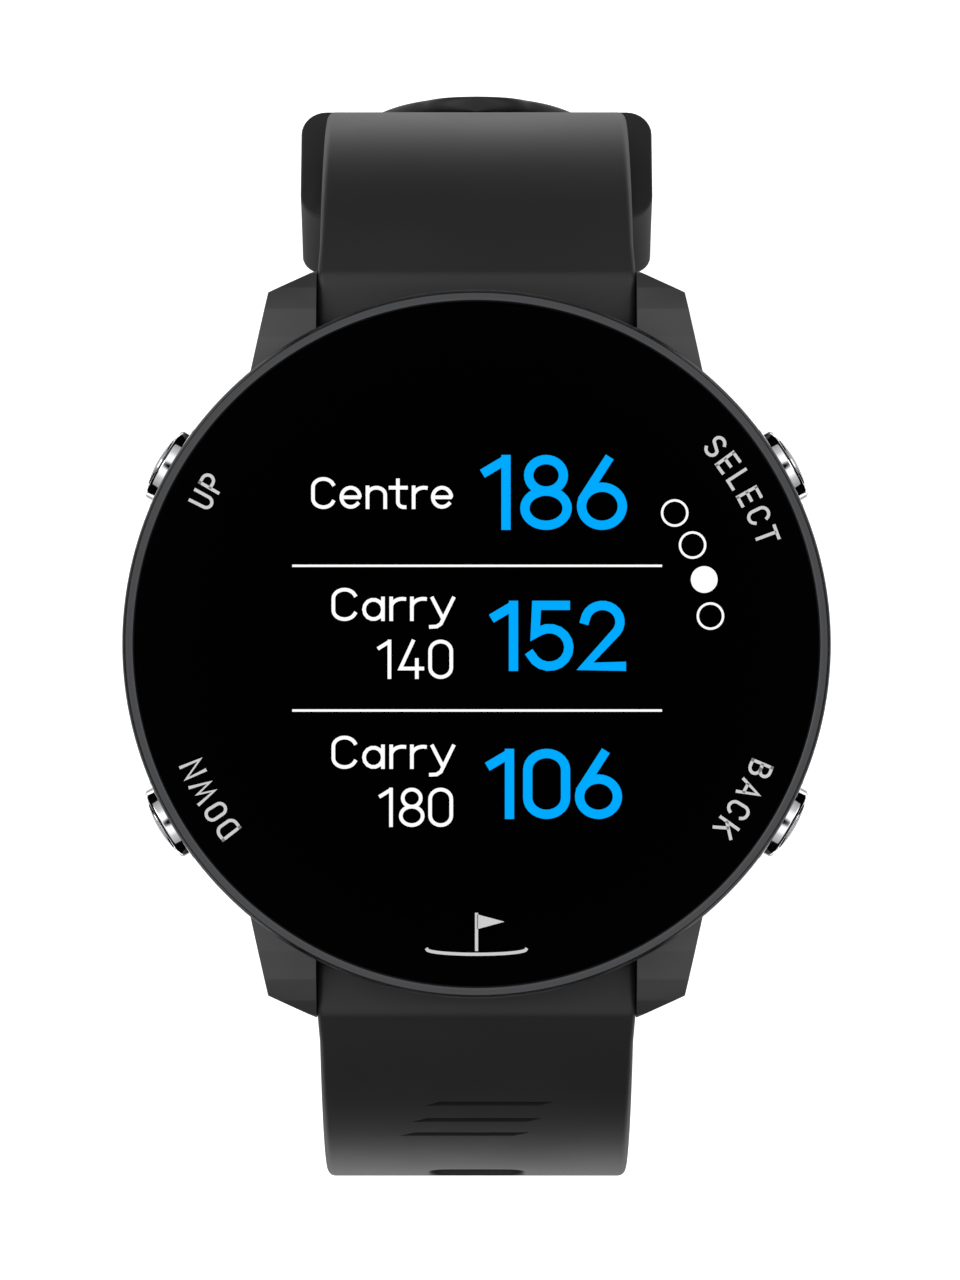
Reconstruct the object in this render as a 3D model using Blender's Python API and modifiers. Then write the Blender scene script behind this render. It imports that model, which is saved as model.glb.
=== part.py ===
"""A round golf GPS watch on a closed silicone band, modelled as separate parts.

Metres, +Z up. The watch stands face up on the bottom of its buckled band: the display looks
along +Z, 12 o'clock is +Y and 3 o'clock is +X. The floor is at z = 0. Everything hangs from
one empty, whose Y offset puts the middle of the object's box on the origin.

Heights are given as depths below the top of the bezel, which lies TOTAL_HEIGHT over the floor.
"""

from math import acos, cos, degrees, pi, radians, sin, sqrt

import bmesh
import bpy
from mathutils import Matrix, Vector

MM = 0.001

# ---------------------------------------------------------------- driving dimensions
TOTAL_HEIGHT = 62.5 * MM
AXIS_Y = -0.72 * MM  # the display's axis, off the middle of the box by the band's overlap
STEPS = 40  # facets round the case
RIM_STEPS = 48  # facets round the bezel and the lens
FINE = 16  # facets round small turned parts
HEAD_STEPS = 20  # facets round a button's head and collar

# Case
BEZEL_R = 22.25 * MM
BEZEL_INNER_R = 21.55 * MM
BEZEL_DEPTH = 2.1 * MM
LENS_R = 21.35 * MM
LENS_DEPTHS = (0.05 * MM, 1.25 * MM)
CASE_R = 22.0 * MM
CASE_TOP = 2.3 * MM
CASE_BOTTOM = 9.7 * MM
LEDGE_R = 19.2 * MM  # inner radius of the shelf under the lens
LEDGE_BOTTOM = 4.0 * MM
CAVITY_R = 18.2 * MM
BACK_R = 20.6 * MM
BACK_DEPTHS = (9.9 * MM, 11.3 * MM)
PLATEAU_R = 14.0 * MM
PLATEAU_DEPTH = 12.0 * MM
SCREW_X, SCREW_Y = 11.9 * MM, 18.4 * MM
SCREW_NAMES = {(1, 1): "1", (-1, 1): "2", (-1, -1): "3", (1, -1): "4"}  # by the signs of x and y
SCREW_SHANK_R = 0.5 * MM
SCREW_HEAD_R = 1.2 * MM
SCREW_DEPTHS = (6.9 * MM, 10.65 * MM, 11.2 * MM)  # tip, under the head, and the head's face
EAR_R = 1.75 * MM  # lobe of the case back round a screw
CONTACTS = 4
CONTACT_Y = -9.0 * MM
CONTACT_PITCH = 2.6 * MM
CONTACT_R = 0.8 * MM
CONTACT_DEPTHS = (11.3 * MM, 11.9 * MM)

# Lugs and spring bars
STRAP_WIDTH = 20.0 * MM
LUG_INNER_X = 10.15 * MM
LUG_OUTER_X = 14.35 * MM
NOTCH_Y = 19.5 * MM  # flat of the case between the lugs
BAR_Y = 21.6 * MM
BAR_DEPTH = 7.6 * MM
BAR_R = 0.75 * MM
BAR_HALF = 9.0 * MM
TIP_R = 0.45 * MM
TIP_END_X = 11.3 * MM

# Buttons
BUTTONS = {"up": 150, "select": 30, "down": 210, "back": 330}
BUTTON_DEPTH = 5.6 * MM
HEAD_R = 2.4 * MM
HEAD_OUT = 23.35 * MM  # distance of the pusher's face from the display's axis
HEAD_IN = 21.8 * MM
PRESS = 0.5 * MM  # a button's travel
POCKET_FLOOR = 20.1 * MM
COLLAR_R = (2.5 * MM, 3.05 * MM)
COLLAR_OUT = 22.35 * MM
STEM_R = 0.7 * MM
STEM_END = 17.35 * MM
CLIP_GROOVE = STEM_END + 0.5 * MM
CLIP_GROOVE_R = 0.45 * MM
PLUNGER_OUT = 16.8 * MM

# Band: outer surface of each half, in the plane of Y and depth
ROOT_DEPTH = 4.7 * MM
ROOT_Y = 19.8 * MM
CREASE_Y = 23.7 * MM
FALL_ANGLE = radians(47)  # how steeply the band leaves the case
FALL_LENGTH = 3.0 * MM
SIDE_R = 38.0 * MM
TURN_R = 25.0 * MM  # inner half's outer surface, round the bottom corners
UPPER_THICK = (5.0 * MM, 2.6 * MM)  # at the root, and from the side on
LAYER_GAP = 0.2 * MM
TAIL_THICK = 1.9 * MM
TIP_THICK = 1.0 * MM
TIP_TAPER = (12, 24)  # degrees round the bottom corner over which the tail thins
TIP_LENGTH = 17.0 * MM
TIP_POINT = 1.34  # an ellipse's end at 1, and more pointed above it
SLOT_SIZE = (6.2 * MM, 3.9 * MM)
SLOT_PITCH = 7.8 * MM
SLOTS = 12
TANG_SLOT = 7  # the slot that the tang holds, counted from the case

# Buckle
PIN_Y = 2.2 * MM
PIN_DEPTH = 56.2 * MM
PIN_R = 0.75 * MM
BOSS_R = 1.9 * MM
FRONT_Y = -9.4 * MM
FRONT_DEPTH = 61.4 * MM
FRONT_R = 1.0 * MM
ARM_R = 1.1 * MM
ARM_X = (10.4 * MM, 12.4 * MM)
TANG_WIDTH = 4.6 * MM
TANG_THICK = 1.0 * MM

# Keepers: angles below the horizontal, round the bottom corner of the band
KEEPER_HALF_X = 12.2 * MM
KEEPER_INSIDE_X = 10.3 * MM
FREE_KEEPER = (25.0, 43.5)
FIXED_KEEPER_Y = (5.2 * MM, 10.9 * MM)
KEEPER_SLACK = 0.3 * MM


# ---------------------------------------------------------------- scene and helpers
def clear_scene():
    for obj in list(bpy.data.objects):
        bpy.data.objects.remove(obj, do_unlink=True)


def new_collection(name, hidden=False):
    made = bpy.data.collections.new(name)
    bpy.context.scene.collection.children.link(made)
    made.hide_render = hidden
    return made


clear_scene()
WATCH = new_collection("golf_gps_watch")
CUTTERS = new_collection("cutters", hidden=True)
ORIGIN = bpy.data.objects.new("watch_axis", None)
ORIGIN.location = (0, AXIS_Y, 0)
WATCH.objects.link(ORIGIN)


def material(name, colour, roughness, metallic=0.0):
    made = bpy.data.materials.new(name)
    made.use_nodes = True
    shader = made.node_tree.nodes["Principled BSDF"]
    shader.inputs["Base Color"].default_value = (*colour, 1)
    shader.inputs["Roughness"].default_value = roughness
    shader.inputs["Metallic"].default_value = metallic
    return made


PALETTE = {
    "case": ((0.03, 0.03, 0.032), 0.45, 0.0),
    "bezel": ((0.09, 0.09, 0.095), 0.35, 0.9),
    "glass": ((0.003, 0.003, 0.004), 0.05, 0.0),
    "silicone": ((0.022, 0.022, 0.023), 0.55, 0.0),
    "chrome": ((0.75, 0.75, 0.77), 0.08, 1.0),
    "steel": ((0.45, 0.45, 0.46), 0.3, 1.0),
    "gunmetal": ((0.12, 0.12, 0.13), 0.35, 1.0),
    "board": ((0.01, 0.12, 0.05), 0.5, 0.0),
    "ceramic": ((0.6, 0.55, 0.42), 0.6, 0.0),
    "foil": ((0.5, 0.5, 0.52), 0.35, 0.6),
    "display": ((0.02, 0.03, 0.05), 0.2, 0.0),
    "gasket": ((0.05, 0.03, 0.02), 0.7, 0.0),
    "gold": ((0.8, 0.6, 0.25), 0.25, 1.0),
}


def finish(obj, name, look):
    """Name it, hang it from the watch's axis and give it its own material."""
    obj.name = obj.data.name = name
    for home in list(obj.users_collection):
        home.objects.unlink(obj)
    WATCH.objects.link(obj)
    obj.parent = ORIGIN
    obj.data.materials.clear()
    obj.data.materials.append(material(name, *PALETTE[look]))
    if obj.type == "MESH":
        obj.data.shade_smooth()
        obj.data.set_sharp_from_angle(angle=radians(35))
    return obj


def as_cutter(obj, name):
    obj.name = name
    for home in list(obj.users_collection):
        home.objects.unlink(obj)
    CUTTERS.objects.link(obj)
    obj.parent = ORIGIN
    obj.hide_render = True
    obj.display_type = "WIRE"
    return obj


def join(obj, other, operation):
    boolean = obj.modifiers.new(other.name, "BOOLEAN")
    boolean.operation = operation
    boolean.solver = "EXACT"
    boolean.object = other
    return obj


def cut(obj, *others):
    for other in others:
        join(obj, other, "DIFFERENCE")
    return obj


def up(depth):
    """The height over the floor of a depth below the bezel's top."""
    return TOTAL_HEIGHT - depth


def box(size, centre):
    bpy.ops.mesh.primitive_cube_add(size=1)
    obj = bpy.context.object
    obj.data.transform(Matrix.Diagonal((*size, 1)))
    obj.location = centre
    return obj


def box_between(low, high):
    low, high = Vector(low), Vector(high)
    return box(high - low, (low + high) / 2)


def bevelled(obj, width, segments=2):
    bevel = obj.modifiers.new("edges", "BEVEL")
    bevel.width = width
    bevel.segments = segments
    bevel.limit_method = "ANGLE"
    return obj


def cylinder(radius, start, end, sides=FINE):
    """A cylinder between two points, its origin at the middle."""
    start, end = Vector(start), Vector(end)
    along = end - start
    bpy.ops.mesh.primitive_cylinder_add(vertices=sides, radius=radius, depth=along.length)
    obj = bpy.context.object
    obj.location = (start + end) / 2
    obj.rotation_euler = along.to_track_quat("Z", "Y").to_euler()
    return obj


def turned(name, profile, steps=STEPS):
    """A profile of (radius, height) points, down its outer side, turned round Z."""
    mesh = bpy.data.meshes.new(name)
    closed = profile[0][0] > 0 and profile[-1][0] > 0
    edges = [(i, i + 1) for i in range(len(profile) - 1)]
    if closed:
        edges.append((len(profile) - 1, 0))
    mesh.from_pydata([(r, 0, z) for r, z in profile], edges, [])
    obj = bpy.data.objects.new(name, mesh)
    WATCH.objects.link(obj)
    screw = obj.modifiers.new("turn", "SCREW")
    screw.steps = screw.render_steps = steps
    screw.use_merge_vertices = True
    screw.merge_threshold = 0.00001
    screw.use_smooth_shade = True
    return obj


def turned_down(name, profile, steps=STEPS):
    """turned, for a profile of (radius, depth below the bezel's top)."""
    return turned(name, [(r, up(depth)) for r, depth in profile], steps)


def extruded(name, outline, half, holes=()):
    """A flat outline in the plane of local X and Y, thickened along local Z."""
    curve = bpy.data.curves.new(name, "CURVE")
    curve.dimensions = "2D"
    curve.fill_mode = "BOTH"
    curve.extrude = half
    for points in (outline, *holes):
        spline = curve.splines.new("POLY")
        spline.points.add(len(points) - 1)
        for point, (x, y) in zip(spline.points, points):
            point.co = (x, y, 0, 1)
        spline.use_cyclic_u = True
    obj = bpy.data.objects.new(name, curve)
    WATCH.objects.link(obj)
    return obj


def meshed(obj):
    """A curve as a mesh object with its caps welded."""
    bpy.context.view_layer.update()
    graph = bpy.context.evaluated_depsgraph_get()
    mesh = bpy.data.meshes.new_from_object(obj.evaluated_get(graph))
    work = bmesh.new()
    work.from_mesh(mesh)
    bmesh.ops.remove_doubles(work, verts=work.verts, dist=1e-6)
    work.to_mesh(mesh)
    work.free()
    made = bpy.data.objects.new(obj.name, mesh)
    made.matrix_world = obj.matrix_world
    WATCH.objects.link(made)
    bpy.data.objects.remove(obj)
    return made


def side_outline(name, outline, half, x=0.0):
    """An outline of (y, depth) points, thickened along X about x."""
    obj = extruded(name, [(y, up(depth)) for y, depth in outline], half)
    obj.rotation_euler = (pi / 2, 0, pi / 2)
    obj.location.x = x
    return meshed(obj)


def radial(angle):
    """The frame whose local Z points outwards at this angle, at the buttons' height."""
    across = Matrix.Rotation(radians(angle), 4, "Z") @ Matrix.Rotation(pi / 2, 4, "Y")
    return Matrix.Translation((0, 0, up(BUTTON_DEPTH))) @ across


def arc(centre, radius, start, end, count):
    """Points of an arc in the plane of Y and depth. 0 degrees is +Y and 90 is straight down."""
    step = (end - start) / count
    angles = [radians(start + step * i) for i in range(count + 1)]
    return [(centre[0] + radius * cos(a), centre[1] + radius * sin(a)) for a in angles]


# ---------------------------------------------------------------- the band's path
FALL_START = (CREASE_Y, ROOT_DEPTH + 0.3 * MM)
FALL_END = (
    FALL_START[0] + FALL_LENGTH * cos(FALL_ANGLE),
    FALL_START[1] + FALL_LENGTH * sin(FALL_ANGLE),
)
SIDE_CENTRE = (
    FALL_END[0] - SIDE_R * sin(FALL_ANGLE),
    FALL_END[1] + SIDE_R * cos(FALL_ANGLE),
)
SIDE_Y = SIDE_CENTRE[0] + SIDE_R  # the band's widest point
TURN_CENTRE = (SIDE_Y - TURN_R, SIDE_CENTRE[1])
BOTTOM = TURN_CENTRE[1] + TURN_R  # outer surface of the inner half
TAIL_INNER_R = TURN_R + LAYER_GAP
TAIL_R = TAIL_INNER_R + TAIL_THICK
LOWER_CENTRE = (-(SIDE_Y - TAIL_R), TURN_CENTRE[1])
TAIL_BOTTOM = LOWER_CENTRE[1] + TAIL_R
START_ANGLE = degrees(FALL_ANGLE) - 90


ROOT_INNER = [(23.4 * MM, 10.4 * MM), (21.2 * MM, 9.5 * MM)]  # wrist side, towards the case


def root_outline():
    """Outer points of a band half from its end at the case to the start of the fall."""
    return [
        (ROOT_Y, 9.5 * MM),
        (ROOT_Y, ROOT_DEPTH + 0.5 * MM),
        (ROOT_Y + 0.5 * MM, ROOT_DEPTH),
        (CREASE_Y - 1.2 * MM, ROOT_DEPTH),
        (CREASE_Y - 0.5 * MM, ROOT_DEPTH + 0.06 * MM),
        FALL_START,
    ]


def side_points(thick_end, count=8):
    """Outer and inner points from the fall to the widest point."""
    outer = arc(SIDE_CENTRE, SIDE_R, START_ANGLE, 0, count)
    inner = []
    for i, (y, depth) in enumerate(outer):
        thick = UPPER_THICK[0] + (thick_end - UPPER_THICK[0]) * (i / count) ** 0.7
        angle = radians(START_ANGLE * (1 - i / count))
        inner.append((y - thick * cos(angle), depth - thick * sin(angle)))
    return outer, inner


def mirrored(points):
    return [(-y, depth) for y, depth in points]


# ---------------------------------------------------------------- case
def spring_bar_centre(side):
    return side * BAR_Y, up(BAR_DEPTH)


def lug(side_x, side_y):
    """One lug: a side profile thickened along X, its outer face splayed by 12 degrees."""
    profile = [
        (15.0 * MM, 2.5 * MM),
        (18.6 * MM, 2.9 * MM),
        (21.8 * MM, 3.9 * MM),
        (23.5 * MM, 5.1 * MM),
        (24.0 * MM, 6.4 * MM),
        (24.0 * MM, 9.2 * MM),
        (23.2 * MM, 10.3 * MM),
        (21.4 * MM, CASE_BOTTOM),
        (15.0 * MM, CASE_BOTTOM),
    ]
    if side_y < 0:
        profile = mirrored(profile)[::-1]
    half = (LUG_OUTER_X - LUG_INNER_X) / 2
    obj = side_outline("lug", profile, half, side_x * (LUG_INNER_X + half))
    trim = box((8 * MM, 20 * MM, 20 * MM), (0, 0, 0))
    trim.data.transform(Matrix.Translation((4 * MM, 0, 0)))
    trim.rotation_euler = (0, 0, side_x * side_y * radians(12) + (0 if side_x > 0 else pi))
    trim.location = (side_x * 14.1 * MM, side_y * 18.0 * MM, up(6 * MM))
    corner = box((12 * MM, 6 * MM, 20 * MM), (0, 0, 0))
    corner.data.transform(Matrix.Translation((0, 3 * MM, 0)))
    corner.rotation_euler = (0, 0, -side_x * radians(26) + (0 if side_y > 0 else pi))
    if side_y < 0:
        corner.rotation_euler.z = pi + side_x * radians(26)
    corner.location = (side_x * 10.15 * MM, side_y * 23.75 * MM, up(6 * MM))
    return cut(
        obj, as_cutter(trim, "lug_side_trim"), as_cutter(corner, "lug_end_trim")
    )


def case_body():
    profile = [
        (LEDGE_R, CASE_TOP),
        (CASE_R - 0.3 * MM, CASE_TOP),
        (CASE_R, CASE_TOP + 0.3 * MM),
        (CASE_R, 6.5 * MM),
        (CASE_R - 0.5 * MM, 8.6 * MM),
        (CASE_R - 1.3 * MM, CASE_BOTTOM),
        (CAVITY_R, CASE_BOTTOM),
        (CAVITY_R, LEDGE_BOTTOM),
        (LEDGE_R, LEDGE_BOTTOM),
    ]
    body = turned_down("case_body", profile)
    for side_x in (1, -1):
        for side_y in (1, -1):
            join(body, as_cutter(lug(side_x, side_y), "lug"), "UNION")
    clear = turned_down("cavity", [(0, 1 * MM), (CAVITY_R, 1 * MM), (CAVITY_R, 12 * MM), (0, 12 * MM)])
    shelf = turned_down(
        "shelf", [(0, 1 * MM), (LEDGE_R, 1 * MM), (LEDGE_R, LEDGE_BOTTOM), (0, LEDGE_BOTTOM)]
    )
    cut(body, as_cutter(clear, "cavity"), as_cutter(shelf, "shelf"))
    for side in (1, -1):
        low = (-LUG_INNER_X, NOTCH_Y, up(12 * MM))
        high = (LUG_INNER_X, 30 * MM, up(4.3 * MM))
        notch = box_between(low, high)
        notch.location.y *= side
        y, z = spring_bar_centre(side)
        hole = cylinder(TIP_R + 0.1 * MM, (-20 * MM, y, z), (20 * MM, y, z), 12)
        cut(body, as_cutter(notch, "strap_notch"), as_cutter(hole, "bar_holes"))
    for name, angle in BUTTONS.items():
        frame = radial(angle)
        for radius, low, high in (
            (COLLAR_R[1] + 0.05 * MM, POCKET_FLOOR, 25 * MM),
            (STEM_R + 0.1 * MM, 17 * MM, 25 * MM),
        ):
            bore = cylinder(radius, frame @ Vector((0, 0, low)), frame @ Vector((0, 0, high)), 20)
            cut(body, as_cutter(bore, name + "_bore"))
    for side_x in (1, -1):
        for side_y in (1, -1):
            x, y = side_x * SCREW_X, side_y * SCREW_Y
            hole = cylinder(0.65 * MM, (x, y, up(10 * MM)), (x, y, up(6.6 * MM)), 12)
            cut(body, as_cutter(hole, "screw_hole"))
    return finish(body, "case_body", "case")


def bezel_ring():
    profile = [
        (BEZEL_INNER_R, 0.12 * MM),
        (BEZEL_INNER_R + 0.1 * MM, 0.0),
        (BEZEL_R - 0.35 * MM, 0.0),
        (BEZEL_R - 0.1 * MM, 0.25 * MM),
        (BEZEL_R, 0.7 * MM),
        (BEZEL_R, 1.5 * MM),
        (BEZEL_R - 0.35 * MM, BEZEL_DEPTH),
        (BEZEL_INNER_R, BEZEL_DEPTH),
    ]
    finish(turned_down("bezel_ring", profile, RIM_STEPS), "bezel_ring", "bezel")


def lens():
    top, bottom = LENS_DEPTHS
    profile = [
        (0, top),
        (LENS_R - 1.0 * MM, top),
        (LENS_R - 0.2 * MM, top + 0.12 * MM),
        (LENS_R, top + 0.35 * MM),
        (LENS_R, bottom),
        (0, bottom),
    ]
    finish(turned_down("lens", profile, RIM_STEPS), "lens", "glass")


def ring(name, inner, outer, top, bottom, look, steps=STEPS):
    profile = [(inner, top), (outer, top), (outer, bottom), (inner, bottom)]
    return finish(turned_down(name, profile, steps), name, look)


def display_stack():
    ring("lens_gasket", 19.5 * MM, 21.2 * MM, 1.45 * MM, 2.1 * MM, "gasket")
    panel = [(0, 1.5 * MM), (17.8 * MM, 1.5 * MM), (17.8 * MM, 2.8 * MM), (0, 2.8 * MM)]
    finish(turned_down("display_panel", panel), "display_panel", "display")
    tray = [
        (18.1 * MM, 1.6 * MM),
        (18.9 * MM, 1.6 * MM),
        (18.9 * MM, 3.4 * MM),
        (17.6 * MM, 3.8 * MM),
        (12.0 * MM, 3.8 * MM),
        (12.0 * MM, 3.1 * MM),
        (18.1 * MM, 3.1 * MM),
    ]
    finish(turned_down("display_bracket", tray), "display_bracket", "case")


def electronics():
    battery = box_between((-12 * MM, -10.6 * MM, up(7.0 * MM)), (12 * MM, 10.6 * MM, up(4.2 * MM)))
    finish(bevelled(battery, 0.8 * MM), "battery", "foil")
    board = [(0, 7.3 * MM), (17.4 * MM, 7.3 * MM), (17.4 * MM, 8.1 * MM), (0, 8.1 * MM)]
    finish(turned_down("main_board", board), "main_board", "board")
    shield = box_between((-9 * MM, -4 * MM, up(8.9 * MM)), (5 * MM, 6 * MM, up(8.25 * MM)))
    finish(bevelled(shield, 0.2 * MM, 1), "shield_can", "steel")
    patch = box_between((-5 * MM, 12.0 * MM, up(6.6 * MM)), (5 * MM, 16.4 * MM, up(4.3 * MM)))
    finish(bevelled(patch, 0.3 * MM, 1), "gps_antenna", "ceramic")
    motor = cylinder(3.2 * MM, (0, -14.3 * MM, up(6.9 * MM)), (0, -14.3 * MM, up(4.4 * MM)), 20)
    finish(bevelled(motor, 0.2 * MM, 1), "vibration_motor", "steel")


def case_back():
    profile = [
        (0, 9.2 * MM),
        (17.0 * MM, 9.2 * MM),
        (17.0 * MM, BACK_DEPTHS[0]),
        (BACK_R, BACK_DEPTHS[0]),
        (BACK_R, 10.9 * MM),
        (BACK_R - 0.6 * MM, BACK_DEPTHS[1]),
        (PLATEAU_R + 0.9 * MM, BACK_DEPTHS[1]),
        (PLATEAU_R, PLATEAU_DEPTH),
        (0, PLATEAU_DEPTH),
    ]
    back = turned_down("case_back", profile)
    for side_x in (1, -1):
        for side_y in (1, -1):
            x, y = side_x * SCREW_X, side_y * SCREW_Y
            ear = cylinder(EAR_R, (x, y, up(BACK_DEPTHS[1])), (x, y, up(BACK_DEPTHS[0])), 24)
            join(back, as_cutter(ear, "ear"), "UNION")
            below, seat = up(PLATEAU_DEPTH), up(SCREW_DEPTHS[1] - 0.05 * MM)
            hole = cylinder(SCREW_SHANK_R + 0.25 * MM, (x, y, below), (x, y, up(9 * MM)), 12)
            sink = cylinder(SCREW_HEAD_R + 0.1 * MM, (x, y, below), (x, y, seat), FINE)
            cut(back, as_cutter(hole, "back_hole"), as_cutter(sink, "screw_seat"))
            screw(x, y)
    pad_low, pad_high = (up(depth) for depth in reversed(CONTACT_DEPTHS))
    for i in range(CONTACTS):
        x, y = (i - (CONTACTS - 1) / 2) * CONTACT_PITCH, CONTACT_Y
        well = cylinder(CONTACT_R + 0.15 * MM, (x, y, pad_low - MM), (x, y, pad_high + 0.1 * MM), FINE)
        cut(back, as_cutter(well, "contact_well"))
        pad = cylinder(CONTACT_R, (x, y, pad_low), (x, y, pad_high))
        finish(pad, f"charge_contact_{i + 1}", "gold")
    finish(back, "case_back", "case")
    ring("back_gasket", 17.15 * MM, 18.05 * MM, 9.0 * MM, 9.7 * MM, "gasket")


def screw(x, y):
    """A countersunk case screw with a slot, its head down in its seat."""
    tip, head_high, head_low = (up(depth) for depth in SCREW_DEPTHS)
    profile = [
        (0, tip),
        (SCREW_SHANK_R, tip),
        (SCREW_SHANK_R, head_high),
        (SCREW_HEAD_R, head_high),
        (SCREW_HEAD_R, head_low),
        (0, head_low),
    ]
    made = turned("screw", profile, FINE)
    made.location = (x, y, 0)
    slot = box((1.5 * MM, 0.3 * MM, 0.5 * MM), (x, y, head_low))
    slot.rotation_euler.z = radians(35)
    cut(made, as_cutter(slot, "screw_slot"))
    number = SCREW_NAMES[(1 if x > 0 else -1, 1 if y > 0 else -1)]
    finish(made, "back_screw_" + number, "steel")


# ---------------------------------------------------------------- buttons
def turned_radially(name, profile, angle, look, steps=FINE):
    """A part turned round a button's axis: (radius, distance from the display's axis)."""
    made = turned(name, profile, steps)
    made.matrix_world = radial(angle)
    return finish(made, name, look)


def button(name, angle):
    head = [
        (0, HEAD_OUT),
        (HEAD_R - 0.65 * MM, HEAD_OUT - 0.2 * MM),
        (HEAD_R - 0.15 * MM, HEAD_OUT - 0.33 * MM),
        (HEAD_R, HEAD_OUT - 0.5 * MM),
        (HEAD_R, HEAD_IN),
        (STEM_R, HEAD_IN),
        (STEM_R, CLIP_GROOVE),
        (CLIP_GROOVE_R, CLIP_GROOVE),
        (CLIP_GROOVE_R, STEM_END),
        (0, STEM_END),
    ]
    turned_radially("button_" + name, head, angle, "chrome", HEAD_STEPS)
    collar = [
        (COLLAR_R[0], COLLAR_OUT),
        (COLLAR_R[1] - 0.15 * MM, COLLAR_OUT),
        (COLLAR_R[1], COLLAR_OUT - 0.2 * MM),
        (COLLAR_R[1], POCKET_FLOOR + 0.05 * MM),
        (COLLAR_R[0], POCKET_FLOOR + 0.05 * MM),
    ]
    turned_radially("button_collar_" + name, collar, angle, "chrome", HEAD_STEPS)
    seal = [(1.15 * MM, 20.65 * MM), (1.15 * MM, POCKET_FLOOR + 0.05 * MM)]
    seal += [(0.75 * MM, z) for _, z in reversed(seal)]
    turned_radially("button_seal_" + name, seal, angle, "gasket")
    clip = [(0.95 * MM, 17.82 * MM), (0.95 * MM, 17.6 * MM), (0.5 * MM, 17.6 * MM), (0.5 * MM, 17.82 * MM)]
    turned_radially("button_clip_" + name, clip, angle, "steel", 12)
    button_spring(name, angle)
    tact_switch(name, angle)


def button_spring(name, angle):
    """A coil between the pocket's floor and the head, drawn at the length it has when pressed."""
    turns, per_turn, radius, wire = 2, 12, 1.7 * MM, 0.15 * MM
    low, high = POCKET_FLOOR + 0.25 * MM, HEAD_IN - PRESS - wire - 0.05 * MM
    curve = bpy.data.curves.new("button_spring_" + name, "CURVE")
    curve.dimensions = "3D"
    curve.bevel_depth = wire
    curve.bevel_resolution = 1
    curve.use_fill_caps = True
    spline = curve.splines.new("POLY")
    count = turns * per_turn
    spline.points.add(count)
    for i, point in enumerate(spline.points):
        turn = 2 * pi * i / per_turn
        along = low + (high - low) * i / count
        point.co = (radius * cos(turn), radius * sin(turn), along, 1)
    obj = bpy.data.objects.new("button_spring_" + name, curve)
    WATCH.objects.link(obj)
    obj.matrix_world = radial(angle)
    finish(obj, "button_spring_" + name, "steel")


def tact_switch(name, angle):
    frame = radial(angle)
    body = box((2.6 * MM, 3.2 * MM, 1.3 * MM), (0, 0, 0))
    body.matrix_world = frame @ Matrix.Translation((0, 0, PLUNGER_OUT - 1.0 * MM))
    plunger = cylinder(0.6 * MM, (0, 0, 0), (0, 0, 1.0 * MM), 12)
    plunger.matrix_world = frame @ Matrix.Translation((0, 0, PLUNGER_OUT - 0.5 * MM))
    join(body, as_cutter(plunger, "plunger"), "UNION")
    finish(body, "tact_switch_" + name, "steel")


# ---------------------------------------------------------------- band
def bar_bore(side):
    y, z = spring_bar_centre(side)
    bore = cylinder(BAR_R + 0.05 * MM, (-15 * MM, y, z), (15 * MM, y, z), 20)
    return as_cutter(bore, "bar_bore")


def strap_upper():
    """The buckle half, on the 12 o'clock side: case, side, corner and buckle pin."""
    outer_side, inner_side = side_points(UPPER_THICK[1])
    inner_r = TURN_R - UPPER_THICK[1]
    outline = root_outline() + outer_side
    outline += arc(TURN_CENTRE, TURN_R, 0, 90, 12)[1:]
    outline += arc((PIN_Y, PIN_DEPTH), BOSS_R, 90, 235, 8)
    outline += [(PIN_Y + 1.6 * MM, BOTTOM - UPPER_THICK[1])]
    outline += arc(TURN_CENTRE, inner_r, 90, 0, 12)
    outline += inner_side[::-1][1:]
    outline += ROOT_INNER
    strap = side_outline("strap_upper", outline, STRAP_WIDTH / 2)
    pin = cylinder(PIN_R + 0.05 * MM, (-15 * MM, PIN_Y, up(PIN_DEPTH)), (15 * MM, PIN_Y, up(PIN_DEPTH)), 20)
    low = (-TANG_WIDTH / 2 - 0.3 * MM, PIN_Y - 3 * MM, up(BOTTOM + MM))
    high = (TANG_WIDTH / 2 + 0.3 * MM, PIN_Y + 2.2 * MM, up(PIN_DEPTH - 3 * MM))
    cut(
        strap,
        bar_bore(1),
        as_cutter(pin, "buckle_pin_bore"),
        as_cutter(box_between(low, high), "tang_gap"),
    )
    finish(strap, "strap_upper", "silicone")


def path_point(length):
    """(y, depth, angle) on the tail half's outer surface, from the widest point on."""
    corner = TAIL_R * pi / 2
    flat = TURN_CENTRE[0] - LOWER_CENTRE[0]
    if length < corner:
        turn = length / TAIL_R
        return (
            LOWER_CENTRE[0] - TAIL_R * cos(turn),
            LOWER_CENTRE[1] + TAIL_R * sin(turn),
            pi - turn,
        )
    if length < corner + flat:
        return LOWER_CENTRE[0] + length - corner, TAIL_BOTTOM, pi / 2
    turn = pi / 2 - (length - corner - flat) / TAIL_R
    return (
        TURN_CENTRE[0] + TAIL_R * cos(turn),
        TURN_CENTRE[1] + TAIL_R * sin(turn),
        turn,
    )


TANG_SLOT_LENGTH = TAIL_R * pi / 2 + (-3.55 * MM - LOWER_CENTRE[0])


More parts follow.
